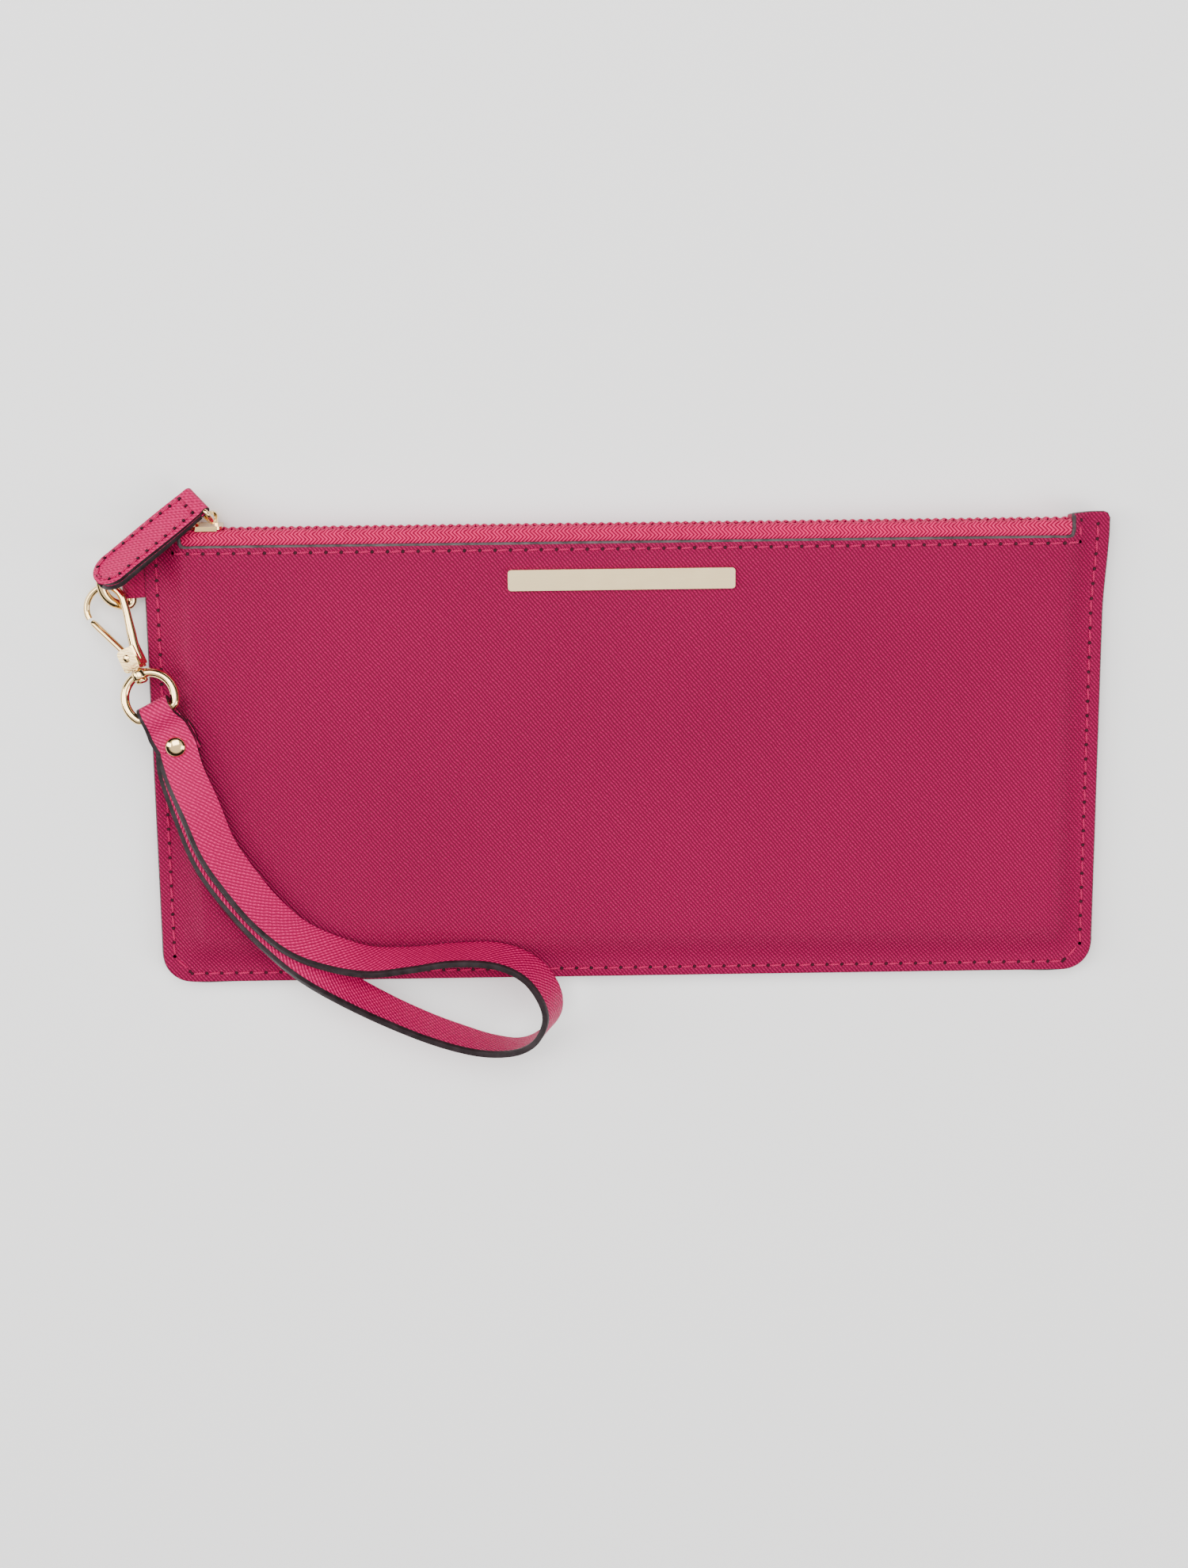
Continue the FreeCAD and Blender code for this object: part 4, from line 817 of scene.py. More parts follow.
def outer_edge():
    """Painted edge of the two panels together, down one side, round the foot and up the other."""
    inset = 0.82
    line = [(SIDE - inset, y) for y in (TOP - 1.6, 50.0, 38.0, 24.0, 8.0, -8.0, -24.0, -38.0, -48.5)]
    for degrees in (0, 22, 45, 68, 90):
        swing = math.radians(degrees)
        reach = CORNER - inset
        line.append((SIDE - CORNER + math.cos(swing) * reach, CORNER - TOP - math.sin(swing) * reach))
    line += [(x, inset - TOP) for x in (96.0, 72.0, 48.0, 24.0, 0.0)]
    line += [(-x, y) for x, y in reversed(line) if x > 0.5]
    work = rod("outer_edge", [(x, y, MID) for x, y in line], [1.14] * len(line), 5)
    flare(work)
    bmesh.ops.recalc_face_normals(work, faces=work.faces)
    finish_piece(work, "outer_edge", "wallet", [EDGE])


outer_edge()


# ---------------------------------------------------------------- stitches

def stitch_row(threads, holes, start, end, side, lift, pitch=3.6, length=2.95, thick=0.32, sink=0.10):
    """Stitches from one point to another, each a low rounded bead that dives into its needle holes, which
    are marked by dark discs of painted shade.
    """
    run = Vector(end) - Vector(start)
    count = max(int(run.length // pitch), 1)
    step = run / count
    turn = math.atan2(run.y, run.x)
    for index in range(count + 1):
        hole = Vector(start) + step * index
        z = lift(hole.x, hole.y)
        # A dark disc at each hole: painted shade inside the needle hole.
        made = bmesh.ops.create_cone(
            holes, cap_ends=True, segments=8, radius1=0.50, radius2=0.36, depth=0.14
        )["verts"]
        bmesh.ops.translate(holes, vec=(hole.x, hole.y, z + side * 0.035), verts=made)
        if index == count:
            break
        middle = hole + step * 0.5
        z = lift(middle.x, middle.y)
        made = bmesh.ops.create_uvsphere(threads, u_segments=8, v_segments=6, radius=1.0)["verts"]
        lie_down = Matrix.Rotation(math.pi / 2, 3, "Y")
        bmesh.ops.rotate(threads, cent=(0, 0, 0), matrix=lie_down, verts=made)
        wobble = random.uniform(-0.03, 0.03)
        bmesh.ops.scale(threads, vec=(length / 2 + wobble, thick, 0.27), verts=made)
        slant = turn + math.radians(4.5) + random.uniform(-0.02, 0.02)
        bmesh.ops.rotate(threads, cent=(0, 0, 0), matrix=Matrix.Rotation(slant, 3, "Z"), verts=made)
        bmesh.ops.translate(threads, vec=(middle.x, middle.y, z + side * sink), verts=made)


def seam_stitches():
    """Both faces' stitches down the sides, across the corners and along the foot."""
    random.seed(11)
    threads = bmesh.new()
    holes = bmesh.new()
    line = SIDE - SIDE_SEAM
    foot = -TOP + FOOT_SEAM
    turn = CORNER - 2.5
    for side in (1, -1):
        def lift(x, y):
            return MID + side * panel_height(x, y, side)
        for x in (-line, line):
            stitch_row(threads, holes, (x, TOP - 3.0, 0), (x, foot + turn, 0), side, lift)
            low_end = math.copysign(line - turn * 0.8, x)
            stitch_row(threads, holes, (x, foot + turn, 0), (low_end, foot + 0.5, 0), side, lift, 5.0, 3.4)
        end = line - turn * 0.9
        stitch_row(threads, holes, (-end, foot, 0), (end, foot, 0), side, lift)
    flare(threads)
    flare(holes)
    finish_piece(threads, "seam_stitches", "wallet", [THREAD], ["seam_thread"])
    finish_piece(holes, "seam_needle_hole_shade", "wallet", [HOLE_SHADE], smooth=False)


def mouth_stitches():
    """Stitches under the mouth, turning up beside each notch."""
    random.seed(12)
    holes = bmesh.new()
    level = MOUTH - MOUTH_SEAM
    for name, side, node in (
        ("mouth_stitches_front", 1, "mouth_thread_front"),
        ("mouth_stitches_back", -1, "mouth_thread_back"),
    ):
        def lift(x, y):
            return MID + side * panel_height(x, y, side)
        threads = bmesh.new()
        sink = 0.10 if side > 0 else -0.09
        edge = NOTCH + 1.6
        stitch_row(threads, holes, (-edge, level, 0), (edge, level, 0), side, lift, sink=sink)
        for x in (-edge, edge):
            top = (x, TOP - 1.8, 0)
            stitch_row(threads, holes, (x, level, 0), top, side, lift, 2.6, 2.2, sink=sink)
        flare(threads)
        finish_piece(threads, name, "wallet", [THREAD], [node])
    flare(holes)
    finish_piece(holes, "mouth_needle_hole_shade", "wallet", [HOLE_SHADE], smooth=False)


seam_stitches()
mouth_stitches()


# ---------------------------------------------------------------- zip

TAPE_END = 105.4
TAPE_TOP = 55.4
TAPE_FOOT = 45.6
TAPE_BEND = 1.2
TAPE_OUT = 3.3
TAPE_LEG = TAPE_TOP - TAPE_BEND - TAPE_FOOT
TAPE_ARC = TAPE_BEND * math.pi / 2
TAPE_FLAT = 1.65
TAPE_LENGTH = TAPE_LEG + TAPE_ARC + TAPE_FLAT
ZIP_PITCH = 2.0


def tape_section(share):
    """A point of the tape's outer face and the way out of it, from its foot (0) to its folded edge (1)."""
    distance = share * TAPE_LENGTH
    if distance < TAPE_LEG:
        return TAPE_FOOT + distance, TAPE_OUT, 0.0, 1.0
    centre = (TAPE_TOP - TAPE_BEND, TAPE_OUT - TAPE_BEND)
    if distance < TAPE_LEG + TAPE_ARC:
        turn = (distance - TAPE_LEG) / TAPE_BEND
        up = math.sin(turn)
        out = math.cos(turn)
        return centre[0] + TAPE_BEND * up, centre[1] + TAPE_BEND * out, up, out
    return TAPE_TOP, centre[1] - (distance - TAPE_LEG - TAPE_ARC), 1.0, 0.0


def zip_tape(name, side, node):
    """Woven tape: it comes up inside the panel, bends over the coil and shows each turn as a bump."""
    work = bmesh.new()
    bmesh.ops.create_grid(work, x_segments=832, y_segments=22, size=0.5)
    surface = work.loops.layers.uv.new("surface")
    phase = -side * ZIP_PITCH / 4
    for vertex in work.verts:
        share = vertex.co.y + 0.5
        # The hidden leg takes a few long rows, and the part that shows takes the rest.
        share = 0.45 + 0.55 * share if share > 0.12 else share * 4.2
        vertex.co.z = share
        vertex.co.x *= 2 * TAPE_END
    for face in work.faces:
        for loop in face.loops:
            loop[surface].uv = (loop.vert.co.x * MM, loop.vert.co.z * TAPE_LENGTH * MM)
    for vertex in work.verts:
        x = vertex.co.x
        y, z, up, out = tape_section(vertex.co.z)
        turn = 0.5 + 0.5 * math.cos((x - phase) * 2 * math.pi / ZIP_PITCH)
        crest = ease((y - 53.2) / 1.6)
        bump_height = (0.44 * turn**0.7 - 0.30) * crest
        vertex.co = (x, y + bump_height * up, MID + side * (z + bump_height * out))
    flare(work)
    bmesh.ops.recalc_face_normals(work, faces=work.faces)
    outward = sum(face.normal.z * face.calc_area() for face in work.faces) * side
    if outward < 0:
        bmesh.ops.reverse_faces(work, faces=work.faces)
    piece = finish_piece(work, name, "wallet", [TAPE], [node])
    add_modifier(piece, "SOLIDIFY", thickness=0.36 * MM, offset=-1.0, use_even_offset=False)


zip_tape("tape_front", 1, "zip_tape_front")
zip_tape("tape_back", -1, "zip_tape_back")


def coil_row(name, side, node):
    """The coil under one tape: a rounded loop at each turn."""
    work = bmesh.new()
    for index in range(102):
        x = -101 + index * ZIP_PITCH - side * ZIP_PITCH / 4
        made = bmesh.ops.create_cone(
            work, cap_ends=True, segments=8, radius1=0.52, radius2=0.52, depth=1.66
        )["verts"]
        bmesh.ops.scale(work, vec=(1, 1.9, 1), verts=made)
        bmesh.ops.translate(work, vec=(x, 54.0, MID + side * 1.24), verts=made)
    bmesh.ops.recalc_face_normals(work, faces=work.faces)
    finish_piece(work, name, "wallet", [COIL], [node])


coil_row("coil_front", 1, "teeth_front")
coil_row("coil_back", -1, "teeth_back")


def zip_slider():
    """Slider: two plates, a neck, side flanges and the bridge, drawn with +Z as the wallet's +Y."""
    work = bmesh.new()
    top_foot = 55.65
    keel_top = 52.75
    block(work, (0, 0, top_foot + 0.4), (7.5, 7.0, 0.8), 1.5, 0.22)
    block(work, (0, 0, keel_top - 0.4), (7.5, 5.2, 0.8), 1.2, 0.18)
    block(work, (-2.08, 0, (top_foot + keel_top) / 2), (3.3, 0.5, top_foot - keel_top + 0.3))
    for turn in (-1, 1):
        block(work, (0, turn * 3.32, top_foot - 0.15), (5.2, 0.35, 0.5), 0, 0.06)
        block(work, (0, turn * 2.42, keel_top + 0.12), (5.0, 0.35, 0.42), 0, 0.06)
    seat = top_foot + 0.6
    crown = 59.75
    half = 2.7
    bend = 1.4
    strip = bmesh.ops.create_grid(work, x_segments=1, y_segments=1, size=0.5)["verts"]
    bmesh.ops.scale(work, vec=(0.8, 1.7, 1), verts=strip)
    bmesh.ops.translate(work, vec=(-half + 0.4, 0, seat), verts=strip)
    faces = list({face for vertex in strip for face in vertex.link_faces})
    made = bmesh.ops.extrude_face_region(work, geom=faces)["geom"]
    verts = [item for item in made if isinstance(item, bmesh.types.BMVert)]
    bmesh.ops.translate(work, vec=(0, 0, crown - bend - seat), verts=verts)
    faces = [item for item in made if isinstance(item, bmesh.types.BMFace)]
    for centre_x, run in ((-half + bend, 2 * (half - bend)), (half - bend, 0)):
        geometry = faces + [edge for face in faces for edge in face.edges]
        geometry += [vertex for face in faces for vertex in face.verts]
        last = bmesh.ops.spin(
            work,
            geom=list(dict.fromkeys(geometry)),
            cent=(centre_x, 0, crown - bend),
            axis=(0, 1, 0),
            angle=math.pi / 2,
            steps=6,
            use_merge=False,
            use_duplicate=False,
        )["geom_last"]
        faces = [item for item in last if isinstance(item, bmesh.types.BMFace)]
        made = bmesh.ops.extrude_face_region(work, geom=faces)["geom"]
        verts = [item for item in made if isinstance(item, bmesh.types.BMVert)]
        drop = (run, 0, 0) if run else (0, 0, -(crown - bend - seat))
        bmesh.ops.translate(work, vec=drop, verts=verts)
        bmesh.ops.delete(work, geom=faces, context="FACES_ONLY")
        faces = [item for item in made if isinstance(item, bmesh.types.BMFace)]
    bmesh.ops.recalc_face_normals(work, faces=work.faces)
    smooth_by_angle(work)
    turn = Matrix.Translation((-99.3, 0, MID)) @ Matrix.Rotation(-math.pi / 2, 4, "X")
    piece = finish_piece(work, "slider", "slider", [GOLD], ["zip_slider"], turn=turn)
    round_rims(piece, 0.12, degrees=45)


zip_slider()


# ---------------------------------------------------------------- leather puller

ALONG = Vector((-0.764, -0.595, 0.277)).normalized()
ACROSS = Vector((0.58, -0.422, 0.697)).normalized()
OUT = ALONG.cross(ACROSS).normalized()
BRIDGE_BAR = Vector((-99.3, 59.35, 4.5))
FOLD = BRIDGE_BAR + Vector((-0.9, 0, 0)) + OUT * 4.8 + ACROSS * 0.6
DOWN = ACROSS.cross(ALONG).normalized()
PULLER_FRAME = Matrix.Translation(FOLD) @ Matrix(
    ((ACROSS - ALONG * ACROSS.dot(ALONG)).normalized(), ALONG, DOWN)
).transposed().to_4x4()


def pull_link():
    """Wire D through the puller's fold and round the slider's bridge."""
    work = wire_d(5.0, 1.5, 1.0, 0.55, 14)
    across = (ACROSS - OUT * ACROSS.dot(OUT)).normalized()
    turn = Matrix((OUT, across, OUT.cross(across))).transposed().to_4x4()
    turn = Matrix.Translation(FOLD) @ turn
    finish_piece(work, "link", "puller", [GOLD], ["pull_link"], turn=turn)


PULLER_LENGTH = 30.0
PULLER_ROOT = 3.9
PULLER_TIP = 5.2
PULLER_STRAIGHT = PULLER_LENGTH - PULLER_TIP
PULLER_LEATHER = 1.3


def puller_half_width(y):
    """Half the puller's width at a distance from its fold."""
    if y <= PULLER_STRAIGHT:
        return PULLER_ROOT + (PULLER_TIP - PULLER_ROOT) * max(y, 0) / PULLER_STRAIGHT
    return PULLER_TIP * math.sqrt(max(1 - ((y - PULLER_STRAIGHT) / PULLER_TIP) ** 2, 0.0))


def puller_twist(y):
    """The puller stands more on edge at its root and lies flatter towards its tip, in radians."""
    return math.radians(-9.0 + 16.0 * ease(y / 26.0))


def twist_puller(work):
    """Turn each of the puller's sections about its middle line."""
    for vertex in work.verts:
        turn = Matrix.Rotation(puller_twist(vertex.co.y), 3, "Y")
        vertex.co = turn @ vertex.co


def puller_leather(name, node, side, start, droop):
    """One leather of the puller: a grid pinched into the outline, thickened towards the middle."""
    work = bmesh.new()
    bmesh.ops.create_grid(work, x_segments=16, y_segments=60, size=0.5)
    surface = work.loops.layers.uv.new("surface")
    for vertex in work.verts:
        share = vertex.co.y + 0.5
        # The rows crowd together at the round tip.
        mixed = share * (1 - share**3) + math.sin(share * math.pi / 2) * share**3
        y = start + (PULLER_LENGTH - 0.02 - start) * mixed
        vertex.co = (vertex.co.x * 2 * puller_half_width(y), y, 0)
    for face in work.faces:
        for loop in face.loops:
            loop[surface].uv = (loop.vert.co.x * MM, loop.vert.co.y * MM)
    for vertex in work.verts:
        share = abs(vertex.co.x) / max(puller_half_width(vertex.co.y), 0.5)
        vertex.co.z = side * PULLER_LEATHER + droop * share**4
    bmesh.ops.recalc_face_normals(work, faces=work.faces)
    if sum(face.normal.z for face in work.faces) * side < 0:
        bmesh.ops.reverse_faces(work, faces=work.faces)
    twist_puller(work)
    piece = finish_piece(
        work, name, "puller", [PULLER, EDGE], [node], turn=PULLER_FRAME
    )
    add_modifier(
        piece,
        "SOLIDIFY",
        thickness=(PULLER_LEATHER - 0.02) * MM,
        offset=-1.0,
        use_even_offset=True,
        material_offset_rim=1,
        material_offset=0,
    )
    round_rims(piece, 0.2)


def puller_fold():
    """The upper leather's turn round the link's bar."""
    work = bmesh.new()
    section = bmesh.ops.create_grid(work, x_segments=12, y_segments=1, size=0.5)["verts"]
    surface = work.loops.layers.uv.new("surface")
    bmesh.ops.scale(work, vec=(2 * PULLER_ROOT, 0.6, 1), verts=section)
    bmesh.ops.translate(work, vec=(0, 0.9, -PULLER_LEATHER), verts=section)
    edges = [
        edge
        for edge in work.edges
        if all(abs(vertex.co.y - 0.6) < 0.01 for vertex in edge.verts)
    ]
    edges = draw_straight(work, edges, (0, -0.6, 0))
    edges = draw_bend(work, edges, (0, 0, 0), -180, 12, (1, 0, 0))
    draw_straight(work, edges, (0, 1.3, 0))
    for face in work.faces:
        for loop in face.loops:
            spot = loop.vert.co
            along = spot.y if spot.z < 0 else -math.pi * PULLER_LEATHER - spot.y
            loop[surface].uv = (spot.x * MM, along * MM)
    bmesh.ops.remove_doubles(work, verts=work.verts, dist=0.001)
    bmesh.ops.recalc_face_normals(work, faces=work.faces)
    lowest = min(work.faces, key=lambda face: face.calc_center_median().z)
    if lowest.normal.z > 0:
        bmesh.ops.reverse_faces(work, faces=work.faces)
    twist_puller(work)
    piece = finish_piece(
        work, "puller_turn", "puller", [PULLER, EDGE], turn=PULLER_FRAME
    )
    add_modifier(
        piece, "SOLIDIFY", thickness=0.68 * MM, offset=-1.0, use_even_offset=True, material_offset_rim=1
    )
    round_rims(piece, 0.18)


def puller_stitches():
    """Stitches round the puller's face, a little in from the edge, and one line across by the fold."""
    random.seed(13)
    threads = bmesh.new()
    holes = bmesh.new()

    def lift(x, y):
        return -PULLER_LEATHER

    inset = 1.25
    start = 2.5
    straight = PULLER_STRAIGHT
    for sign in (-1, 1):
        stitch_row(
            threads,
            holes,
            (sign * (puller_half_width(start) - inset), start, 0),
            (sign * (puller_half_width(straight) - inset), straight, 0),
            -1,
            lift,
            2.7,
            2.25,
        )
    side = PULLER_ROOT - inset
    stitch_row(threads, holes, (-side, start, 0), (side, start, 0), -1, lift, 2.6, 2.2)
    reach = PULLER_TIP - inset
    angles = [0, 40, 80, 100, 140, 180]
    for first, second in zip(angles, angles[1:]):
        spots = [
            (math.cos(math.radians(a)) * reach, straight + math.sin(math.radians(a)) * reach, 0)
            for a in (first, second)
        ]
        stitch_row(threads, holes, spots[0], spots[1], -1, lift, 5.0, 2.3)
    for work, name, material, slot_name, replaced in (
        (threads, "puller_stitches", THREAD, "thread", ["puller_thread"]),
        (holes, "puller_needle_hole_shade", HOLE_SHADE, "puller_leather", []),
    ):
        twist_puller(work)
        finish_piece(work, name, "puller", [material], replaced, turn=PULLER_FRAME)


pull_link()
puller_leather("puller_face", "puller_front", -1, 0.6, 0.22)
puller_leather("puller_rear", "puller_back", 1, 1.4, -0.1)
puller_fold()
puller_stitches()


# ---------------------------------------------------------------- D-ring and its tab

RING_BAR = Vector((-118.0, 43.7, 4.5))


def ring_tab():
    """Leather folded round the D-ring's bar, its tongue sewn between the panels."""
    work = bmesh.new()
    outer = 2.16
    meet = math.degrees(math.acos(1.4 / outer))
    shoulder = Vector((math.cos(math.radians(meet)), 0, math.sin(math.radians(meet)))) * outer
    start = [work.verts.new((7.1, -4.5, 0.6)), work.verts.new((7.1, 4.5, 0.6))]
    edges = [work.edges.new(start)]
    bmesh.ops.subdivide_edges(work, edges=edges, cuts=6)
    edges = list(work.edges)
    edges = draw_straight(work, edges, (-3.6, 0, 0))
    edges = draw_straight(work, edges, (shoulder.x - 3.5, 0, shoulder.z - 0.6))
    edges = draw_bend(work, edges, (0, 0, 0), -(360 - 2 * meet), 26, (0, 1, 0))
    edges = draw_straight(work, edges, (3.5 - shoulder.x, 0, shoulder.z - 0.6))
    draw_straight(work, edges, (3.6, 0, 0))
    bmesh.ops.remove_doubles(work, verts=work.verts, dist=0.001)
    bmesh.ops.recalc_face_normals(work, faces=work.faces)
    left = min(work.faces, key=lambda face: face.calc_center_median().x)
    if left.normal.x > 0:
        bmesh.ops.reverse_faces(work, faces=work.faces)
    piece = finish_piece(
        work, "ring_loop", "wallet", [TAB, EDGE], ["ring_tab"],
        turn=Matrix.Translation(RING_BAR),
    )
    add_modifier(
        piece, "SOLIDIFY", thickness=0.6 * MM, offset=-1.0, use_even_offset=True, material_offset_rim=1
    )
    round_rims(piece, 0.15)


def d_ring():
    """Wire D whose bar turns in the tab."""
    work = wire_d(6.3, 1.4, 1.2, 1.2, 20)
    turn = Matrix.Translation(RING_BAR) @ Matrix.Rotation(math.radians(32), 4, "Y")
    finish_piece(work, "tether_ring_wire", "tether_ring", [GOLD], ["d_ring"], turn=turn)


ring_tab()
d_ring()


# ---------------------------------------------------------------- swivel hook

NECK = Vector((-116.2, 21.6, 10.9))
HOOK_BASE = (
    Matrix.Translation(NECK)
    @ Matrix.Rotation(math.radians(25), 4, "Z")
    @ Matrix.Rotation(math.radians(-14), 4, "X")
)
HOOK_FRAME = HOOK_BASE @ Matrix.Rotation(math.radians(-20), 4, "Y")
LIE_ALONG = Matrix.Rotation(-math.pi / 2, 3, "X")
GATE_PIVOT = Vector((-0.4, 4.6, 0))


def hook_casting():
    """Flat cast hook: a wide spine that narrows round the eye, and a forked plate for the gate."""
    eye = Vector((0, 18.0, 0))
    reach = 4.8
    spots = []
    radii = []
    for x, y, radius in ((1.95, 3.2, 1.05), (2.05, 6.0, 1.22), (2.9, 9.6, 1.20), (3.85, 13.2, 1.02)):
        spots.append((x, y, 0))
        radii.append(radius)
    for angle in (-14.7, 8, 32, 56, 80, 104, 128, 152, 172, 187):
        turn = math.radians(angle)
        wide = reach + 1.3 * ease((angle - 60) / 60)
        spots.append((eye.x + math.cos(turn) * wide, eye.y + math.sin(turn) * reach, 0))
        radii.append(0.80 + 0.16 * ease(1 - (angle + 14.7) / 120))
    work = rod("casting", spots, radii, 5)
    bmesh.ops.scale(work, vec=(1, 1, 0.86), verts=work.verts)
    for side in (-1, 1):
        block(work, (-0.2, 4.1, side * 1.32), (4.5, 5.6, 0.56), 1.0, 0.16)
        block(work, (0.2, 2.0, side * 1.0), (3.6, 1.5, 1.2), 0, 0.16)
    block(work, (0, 1.95, 0), (3.9, 1.3, 3.1), 0, 0.2, 1)
    block(work, (2.0, 4.4, 0), (1.3, 5.2, 3.0), 0, 0.25, 1)
    bmesh.ops.recalc_face_normals(work, faces=work.faces)
    smooth_by_angle(work)
    finish_piece(work, "hook_casting", "hook", [GOLD], ["hook_body"], turn=HOOK_FRAME)


def hook_gate():
    """Round lever on the pin, its tip just under the hook's nose."""
    pivot = GATE_PIVOT
    tip = Vector((-5.75, 16.5, 0))
    way = (tip - pivot).normalized()
    spots = [pivot, pivot + way * 2.2, pivot + way * 6.0, pivot + way * 10.0, tip - way * 0.6, tip]
    work = rod("lever", spots, [0.80, 0.78, 0.80, 0.82, 0.80, 0.62], 4)
    hub = bmesh.new()
    turned(hub, [(0.62, -0.5), (1.28, -0.5), (1.42, -0.36), (1.42, 0.36), (1.28, 0.5), (0.62, 0.5)], 24)
    bmesh.ops.translate(hub, vec=pivot, verts=hub.verts)
    join_in(work, hub)
    bmesh.ops.recalc_face_normals(work, faces=work.faces)
    smooth_by_angle(work)
    finish_piece(work, "gate_lever", "gate", [GOLD], ["hook_gate"], turn=HOOK_FRAME)


def gate_pin():
    """Pin with a low round head at each end."""
    work = bmesh.new()
    head = [(0.6, 1.6), (0.98, 1.6), (0.92, 1.72), (0.62, 1.86), (0, 1.88)]
    turned(work, [(radius, -level) for radius, level in reversed(head)] + head, 28)
    bmesh.ops.translate(work, vec=GATE_PIVOT, verts=work.verts)
    smooth_by_angle(work)
    finish_piece(work, "pin_heads", "hook", [GOLD], ["gate_pin"], turn=HOOK_FRAME)


def swivel_post():
    """Post through the swivel's collar, with a rounded head."""
    work = bmesh.new()
    shaft = [(0, 1.3), (0.9, 1.3), (0.9, -1.4)]
    head = [(1.36, -1.4), (1.5, -1.52), (1.46, -1.9), (1.2, -2.16), (0.7, -2.28), (0, -2.3)]
    turned(work, shaft + head, 28)
    bmesh.ops.rotate(work, cent=(0, 0, 0), matrix=LIE_ALONG, verts=work.verts)
    smooth_by_angle(work)
    finish_piece(work, "post", "hook", [GOLD], ["swivel_post"], turn=HOOK_FRAME)


def swivel_ring():
    """Wire ring with a flat bar for the strap and a collar on the post."""
    work = bmesh.new()
    radius = 6.1
    corner = 1.2
    bar = -radius - 3.9
    corner_y = bar + corner
    half = math.sqrt((radius - corner) ** 2 - (corner_y + radius) ** 2)
    leave = math.degrees(math.atan2(corner_y + radius, half))
    edges = profile_circle(work, 1.1, (0, bar, 0), (1, 0, 0), 18)
    edges = draw_straight(work, edges, (half, 0, 0))
    edges = draw_bend(work, edges, (half, corner_y, 0), 90 + leave, 5)
    edges = draw_bend(work, edges, (0, -radius, 0), 180 - 2 * leave, 36)
    edges = draw_bend(work, edges, (-half, corner_y, 0), 90 + leave, 5)
    draw_straight(work, edges, (half, 0, 0))
    close_up(work)
    collar = bmesh.new()
    foot = [(0.95, -1.3), (1.5, -1.3), (1.78, -1.12), (1.9, -0.8)]
    top = [(1.9, 0.6), (1.72, 0.94), (1.4, 1.1), (0.95, 1.1)]
    turned(collar, foot + top + foot[:1], 30)
    bmesh.ops.rotate(collar, cent=(0, 0, 0), matrix=LIE_ALONG, verts=collar.verts)
    join_in(work, collar)
    smooth_by_angle(work)
    finish_piece(work, "swivel_loop", "swivel", [GOLD], ["swivel_ring"], turn=HOOK_BASE)


hook_casting()
hook_gate()
gate_pin()
swivel_post()
swivel_ring()


# ---------------------------------------------------------------- wrist strap

# Middle line of the strap from the rivet out round the loop and back: x, y, z and the lean of its
# width in degrees, 0 lying flat, 90 standing on edge and 180 flat with its other face up.
STRAP_LOOP = [
    (-106.2, -2.3, 13.6, 2),
    (-102.9, -11.0, 14.4, 20),
    (-99.4, -20.5, 14.8, 28),
    (-94.6, -28.3, 15.0, 32),
    (-88.6, -36.3, 15.0, 36),
    (-81.2, -43.2, 14.9, 43),
    (-73.2, -47.2, 14.6, 52),
    (-63.6, -49.8, 14.4, 65),
    (-53.5, -49.6, 14.2, 75),
    (-43.0, -48.5, 14.2, 79),
    (-32.4, -48.9, 14.1, 74),
    (-24.7, -52.3, 13.9, 68),
    (-20.0, -58.4, 13.5, 64),
    (-18.9, -64.6, 13.0, 69),
    (-22.1, -70.1, 12.7, 81),
    (-27.0, -72.7, 12.6, 88),
    (-33.8, -72.6, 12.4, 98),
    (-41.2, -70.7, 12.4, 106),
    (-49.8, -67.5, 12.4, 110),
    (-59.9, -62.7, 12.4, 114),
    (-69.7, -57.0, 12.6, 121),
    (-78.9, -49.9, 13.2, 140),
    (-86.1, -43.1, 12.9, 148),
    (-91.5, -37.1, 12.6, 153),
    (-97.0, -29.9, 12.2, 158),
    (-101.2, -22.8, 11.7, 163),
    (-104.6, -13.4, 11.1, 170),
    (-108.0, -2.0, 10.5, 178),
]
RIVET = Vector((-107.9, 4.6, 13.6))
STRAP_THICK = 1.5
STRAP_WIDE = 10.0
STRAP_FOLD = 8.0


def smooth_rows(rows, steps):
    """A smooth curve through rows of numbers, at even steps."""
    points = []
    last = len(rows) - 1
    for index in range(last):
        a = rows[max(index - 1, 0)]
        b = rows[index]
        c = rows[index + 1]
        d = rows[min(index + 2, last)]
        for step in range(steps):
            f = step / steps
            row = []
            for p, q, r, s in zip(a, b, c, d):
                square = (2 * p - 5 * q + 4 * r - s) * f**2
                cube = (3 * q - p - 3 * r + s) * f**3
                row.append(0.5 * (2 * q + (r - p) * f + square + cube))
            points.append(row)
    points.append(list(rows[-1]))
    return points


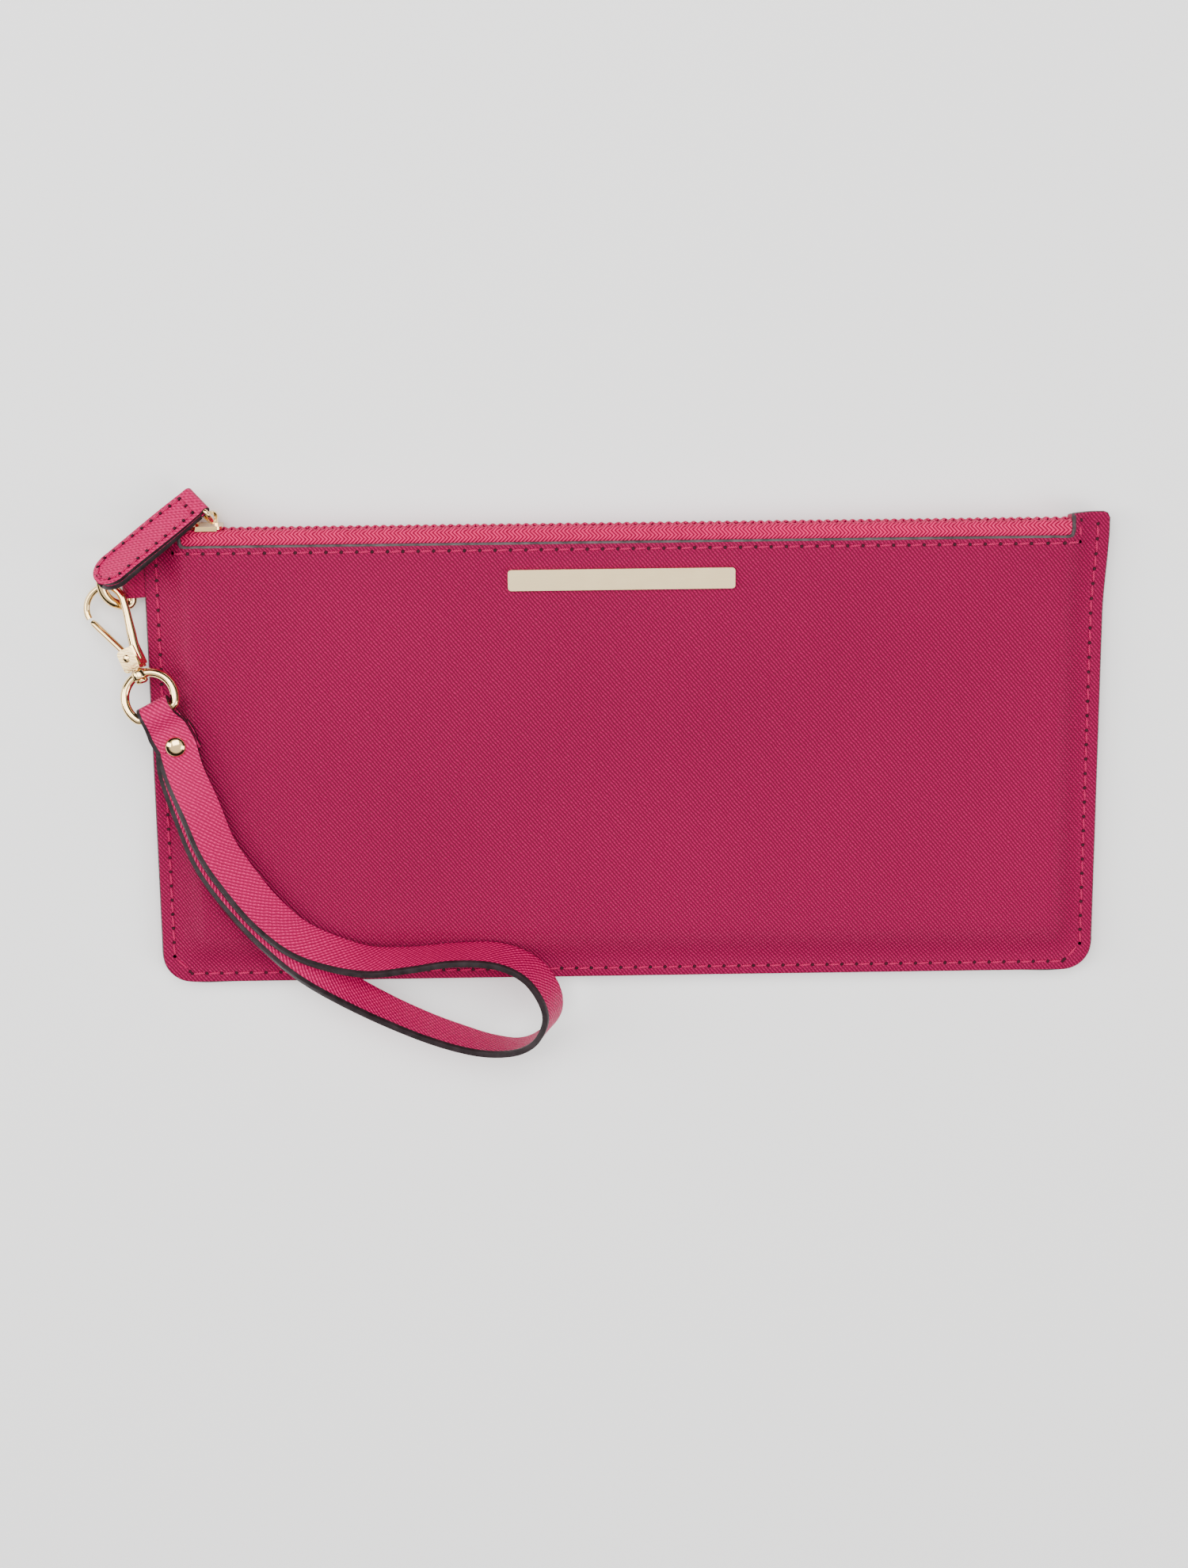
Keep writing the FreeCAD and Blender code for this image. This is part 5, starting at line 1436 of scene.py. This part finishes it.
def strap_stations():
    """Middle, width direction and width of the strap from its tail to its lower end."""
    bar = HOOK_BASE @ Vector((0, -10.0, 0))
    ahead = Vector((RIVET.x - bar.x, RIVET.y - bar.y, 0)).normalized()
    side = Vector((ahead.y, -ahead.x, 0))
    reach = 1.1 + 0.2 + STRAP_THICK / 2
    layer = STRAP_THICK + 0.05
    up = Vector((0, 0, 1))

    def width_at(distance):
        return STRAP_FOLD + (STRAP_WIDE - STRAP_FOLD) * ease(min(distance / 5.6, 1))

    stations = []
    for step in range(17):
        distance = 12.2 - 11.0 * step / 16
        share = min(distance / 4.8, 1)
        low = bar.z - reach
        lift = low + (RIVET.z - layer - low) * (1 - math.cos(math.pi * share)) / 2
        middle = bar + ahead * distance
        stations.append((Vector((middle.x, middle.y, lift)), side, width_at(distance)))
    for step in range(19):
        swing = math.radians(270 - 10 * step)
        middle = bar + (ahead * math.cos(swing) + up * math.sin(swing)) * reach
        stations.append((middle, side, STRAP_FOLD))
    for step in range(8):
        distance = 1.2 + 4.8 * step / 7
        share = min(distance / 4.8, 1)
        high = bar.z + reach
        lift = high + (RIVET.z - high) * (1 - math.cos(math.pi * share)) / 2
        middle = bar + ahead * distance
        stations.append((Vector((middle.x, middle.y, lift)), side, width_at(distance)))
    lower_end = bar + ahead * 5.6
    rows = [(RIVET.x, RIVET.y, RIVET.z, 0)]
    rows += STRAP_LOOP
    rows.append((RIVET.x, RIVET.y, RIVET.z - 2 * layer, 180))
    rows.append((lower_end.x, lower_end.y, RIVET.z - 2 * layer, 180))
    loop = smooth_rows(rows, 8)
    for index, (x, y, z, lean) in enumerate(loop):
        before = loop[max(index - 1, 0)]
        after = loop[min(index + 1, len(loop) - 1)]
        along = Vector((after[0] - before[0], after[1] - before[1], 0)).normalized()
        level = Vector((along.y, -along.x, 0))
        across = level * math.cos(math.radians(lean)) + up * math.sin(math.radians(lean))
        stations.append((Vector((x, y, z)), across, STRAP_WIDE))
    return stations


def strap_band():
    """The whole strap as one band: a grid laid along its stations, thickened, its edges painted."""
    stations = strap_stations()
    count = len(stations)
    work = bmesh.new()
    bmesh.ops.create_grid(work, x_segments=8, y_segments=count - 1, size=0.5)
    surface = work.loops.layers.uv.new("surface")
    travel = [0.0]
    for first, second in zip(stations, stations[1:]):
        travel.append(travel[-1] + (second[0] - first[0]).length)
    rows = {}
    for vertex in work.verts:
        share = vertex.co.x * 2
        if abs(share - 0.75) < 0.01:
            share = 0.80
        rows[vertex] = (round((vertex.co.y + 0.5) * (count - 1)), share)
    for face in work.faces:
        face.material_index = 1 if min(rows[vertex][1] for vertex in face.verts) > 0.78 else 0
        for loop in face.loops:
            index, share = rows[loop.vert]
            loop[surface].uv = (share * stations[index][2] / 2 * MM, travel[index] * MM)
    for vertex, (index, share) in rows.items():
        middle, across, width = stations[index]
        before = stations[max(index - 1, 0)][0]
        after = stations[min(index + 1, count - 1)][0]
        along = (after - before).normalized()
        flat = (across - along * across.dot(along)).normalized()
        vertex.co = middle + flat * (share * width / 2)
    bmesh.ops.recalc_face_normals(work, faces=work.faces)
    piece = finish_piece(work, "strap_band", "wrist_strap", [STRAP, EDGE], ["strap"])
    add_modifier(
        piece,
        "SOLIDIFY",
        thickness=(STRAP_THICK - 0.06) * MM,
        offset=0.0,
        use_even_offset=False,
        material_offset=0,
        material_offset_rim=1,
    )
    round_rims(piece, 0.26, 3)


def rivet():
    """Domed head on top of the strap's three layers."""
    work = bmesh.new()
    rim = [(0, 0.0), (2.3, 0.0), (2.45, 0.1), (2.45, 0.28)]
    dome = [(2.3, 0.46), (1.9, 0.74), (1.3, 1.0), (0.65, 1.15), (0, 1.2)]
    turned(work, rim + dome, 40)
    bmesh.ops.translate(work, vec=(RIVET.x, RIVET.y, RIVET.z + 0.77), verts=work.verts)
    smooth_by_angle(work)
    finish_piece(work, "rivet_head", "wrist_strap", [GOLD], ["rivet_cap"])


strap_band()
rivet()


# ---------------------------------------------------------------- name bar and carried-over pieces

def name_bar():
    """Plain bar with a narrow bevel, on the front above the middle."""
    work = bmesh.new()
    block(work, (-1, 43, 9.62), (54, 5, 1.16), 0.8, 0.3)
    for sign in (-1, 1):
        block(work, (-1 + sign * 22, 43, 8.3), (1.5, 1.5, 2.0), 0.5)
    bmesh.ops.recalc_face_normals(work, faces=work.faces)
    smooth_by_angle(work)
    finish_piece(work, "plain_bar", "wallet", [PALE_GOLD], ["name_bar"])


name_bar()

CARRIED = {
    "front_board": BOARD,
    "back_board": BOARD,
    "front_lining": LINING,
    "back_lining": LINING,
    "card_pocket": LINING,
    "top_stops": GOLD,
    "bottom_stop": GOLD,
    "bar_washers": GOLD,
    "gate_spring": SPRING,
    "rivet_post": GOLD,
}
for node, material in CARRIED.items():
    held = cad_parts[node]
    held.data.materials.clear()
    held.data.materials.append(material)
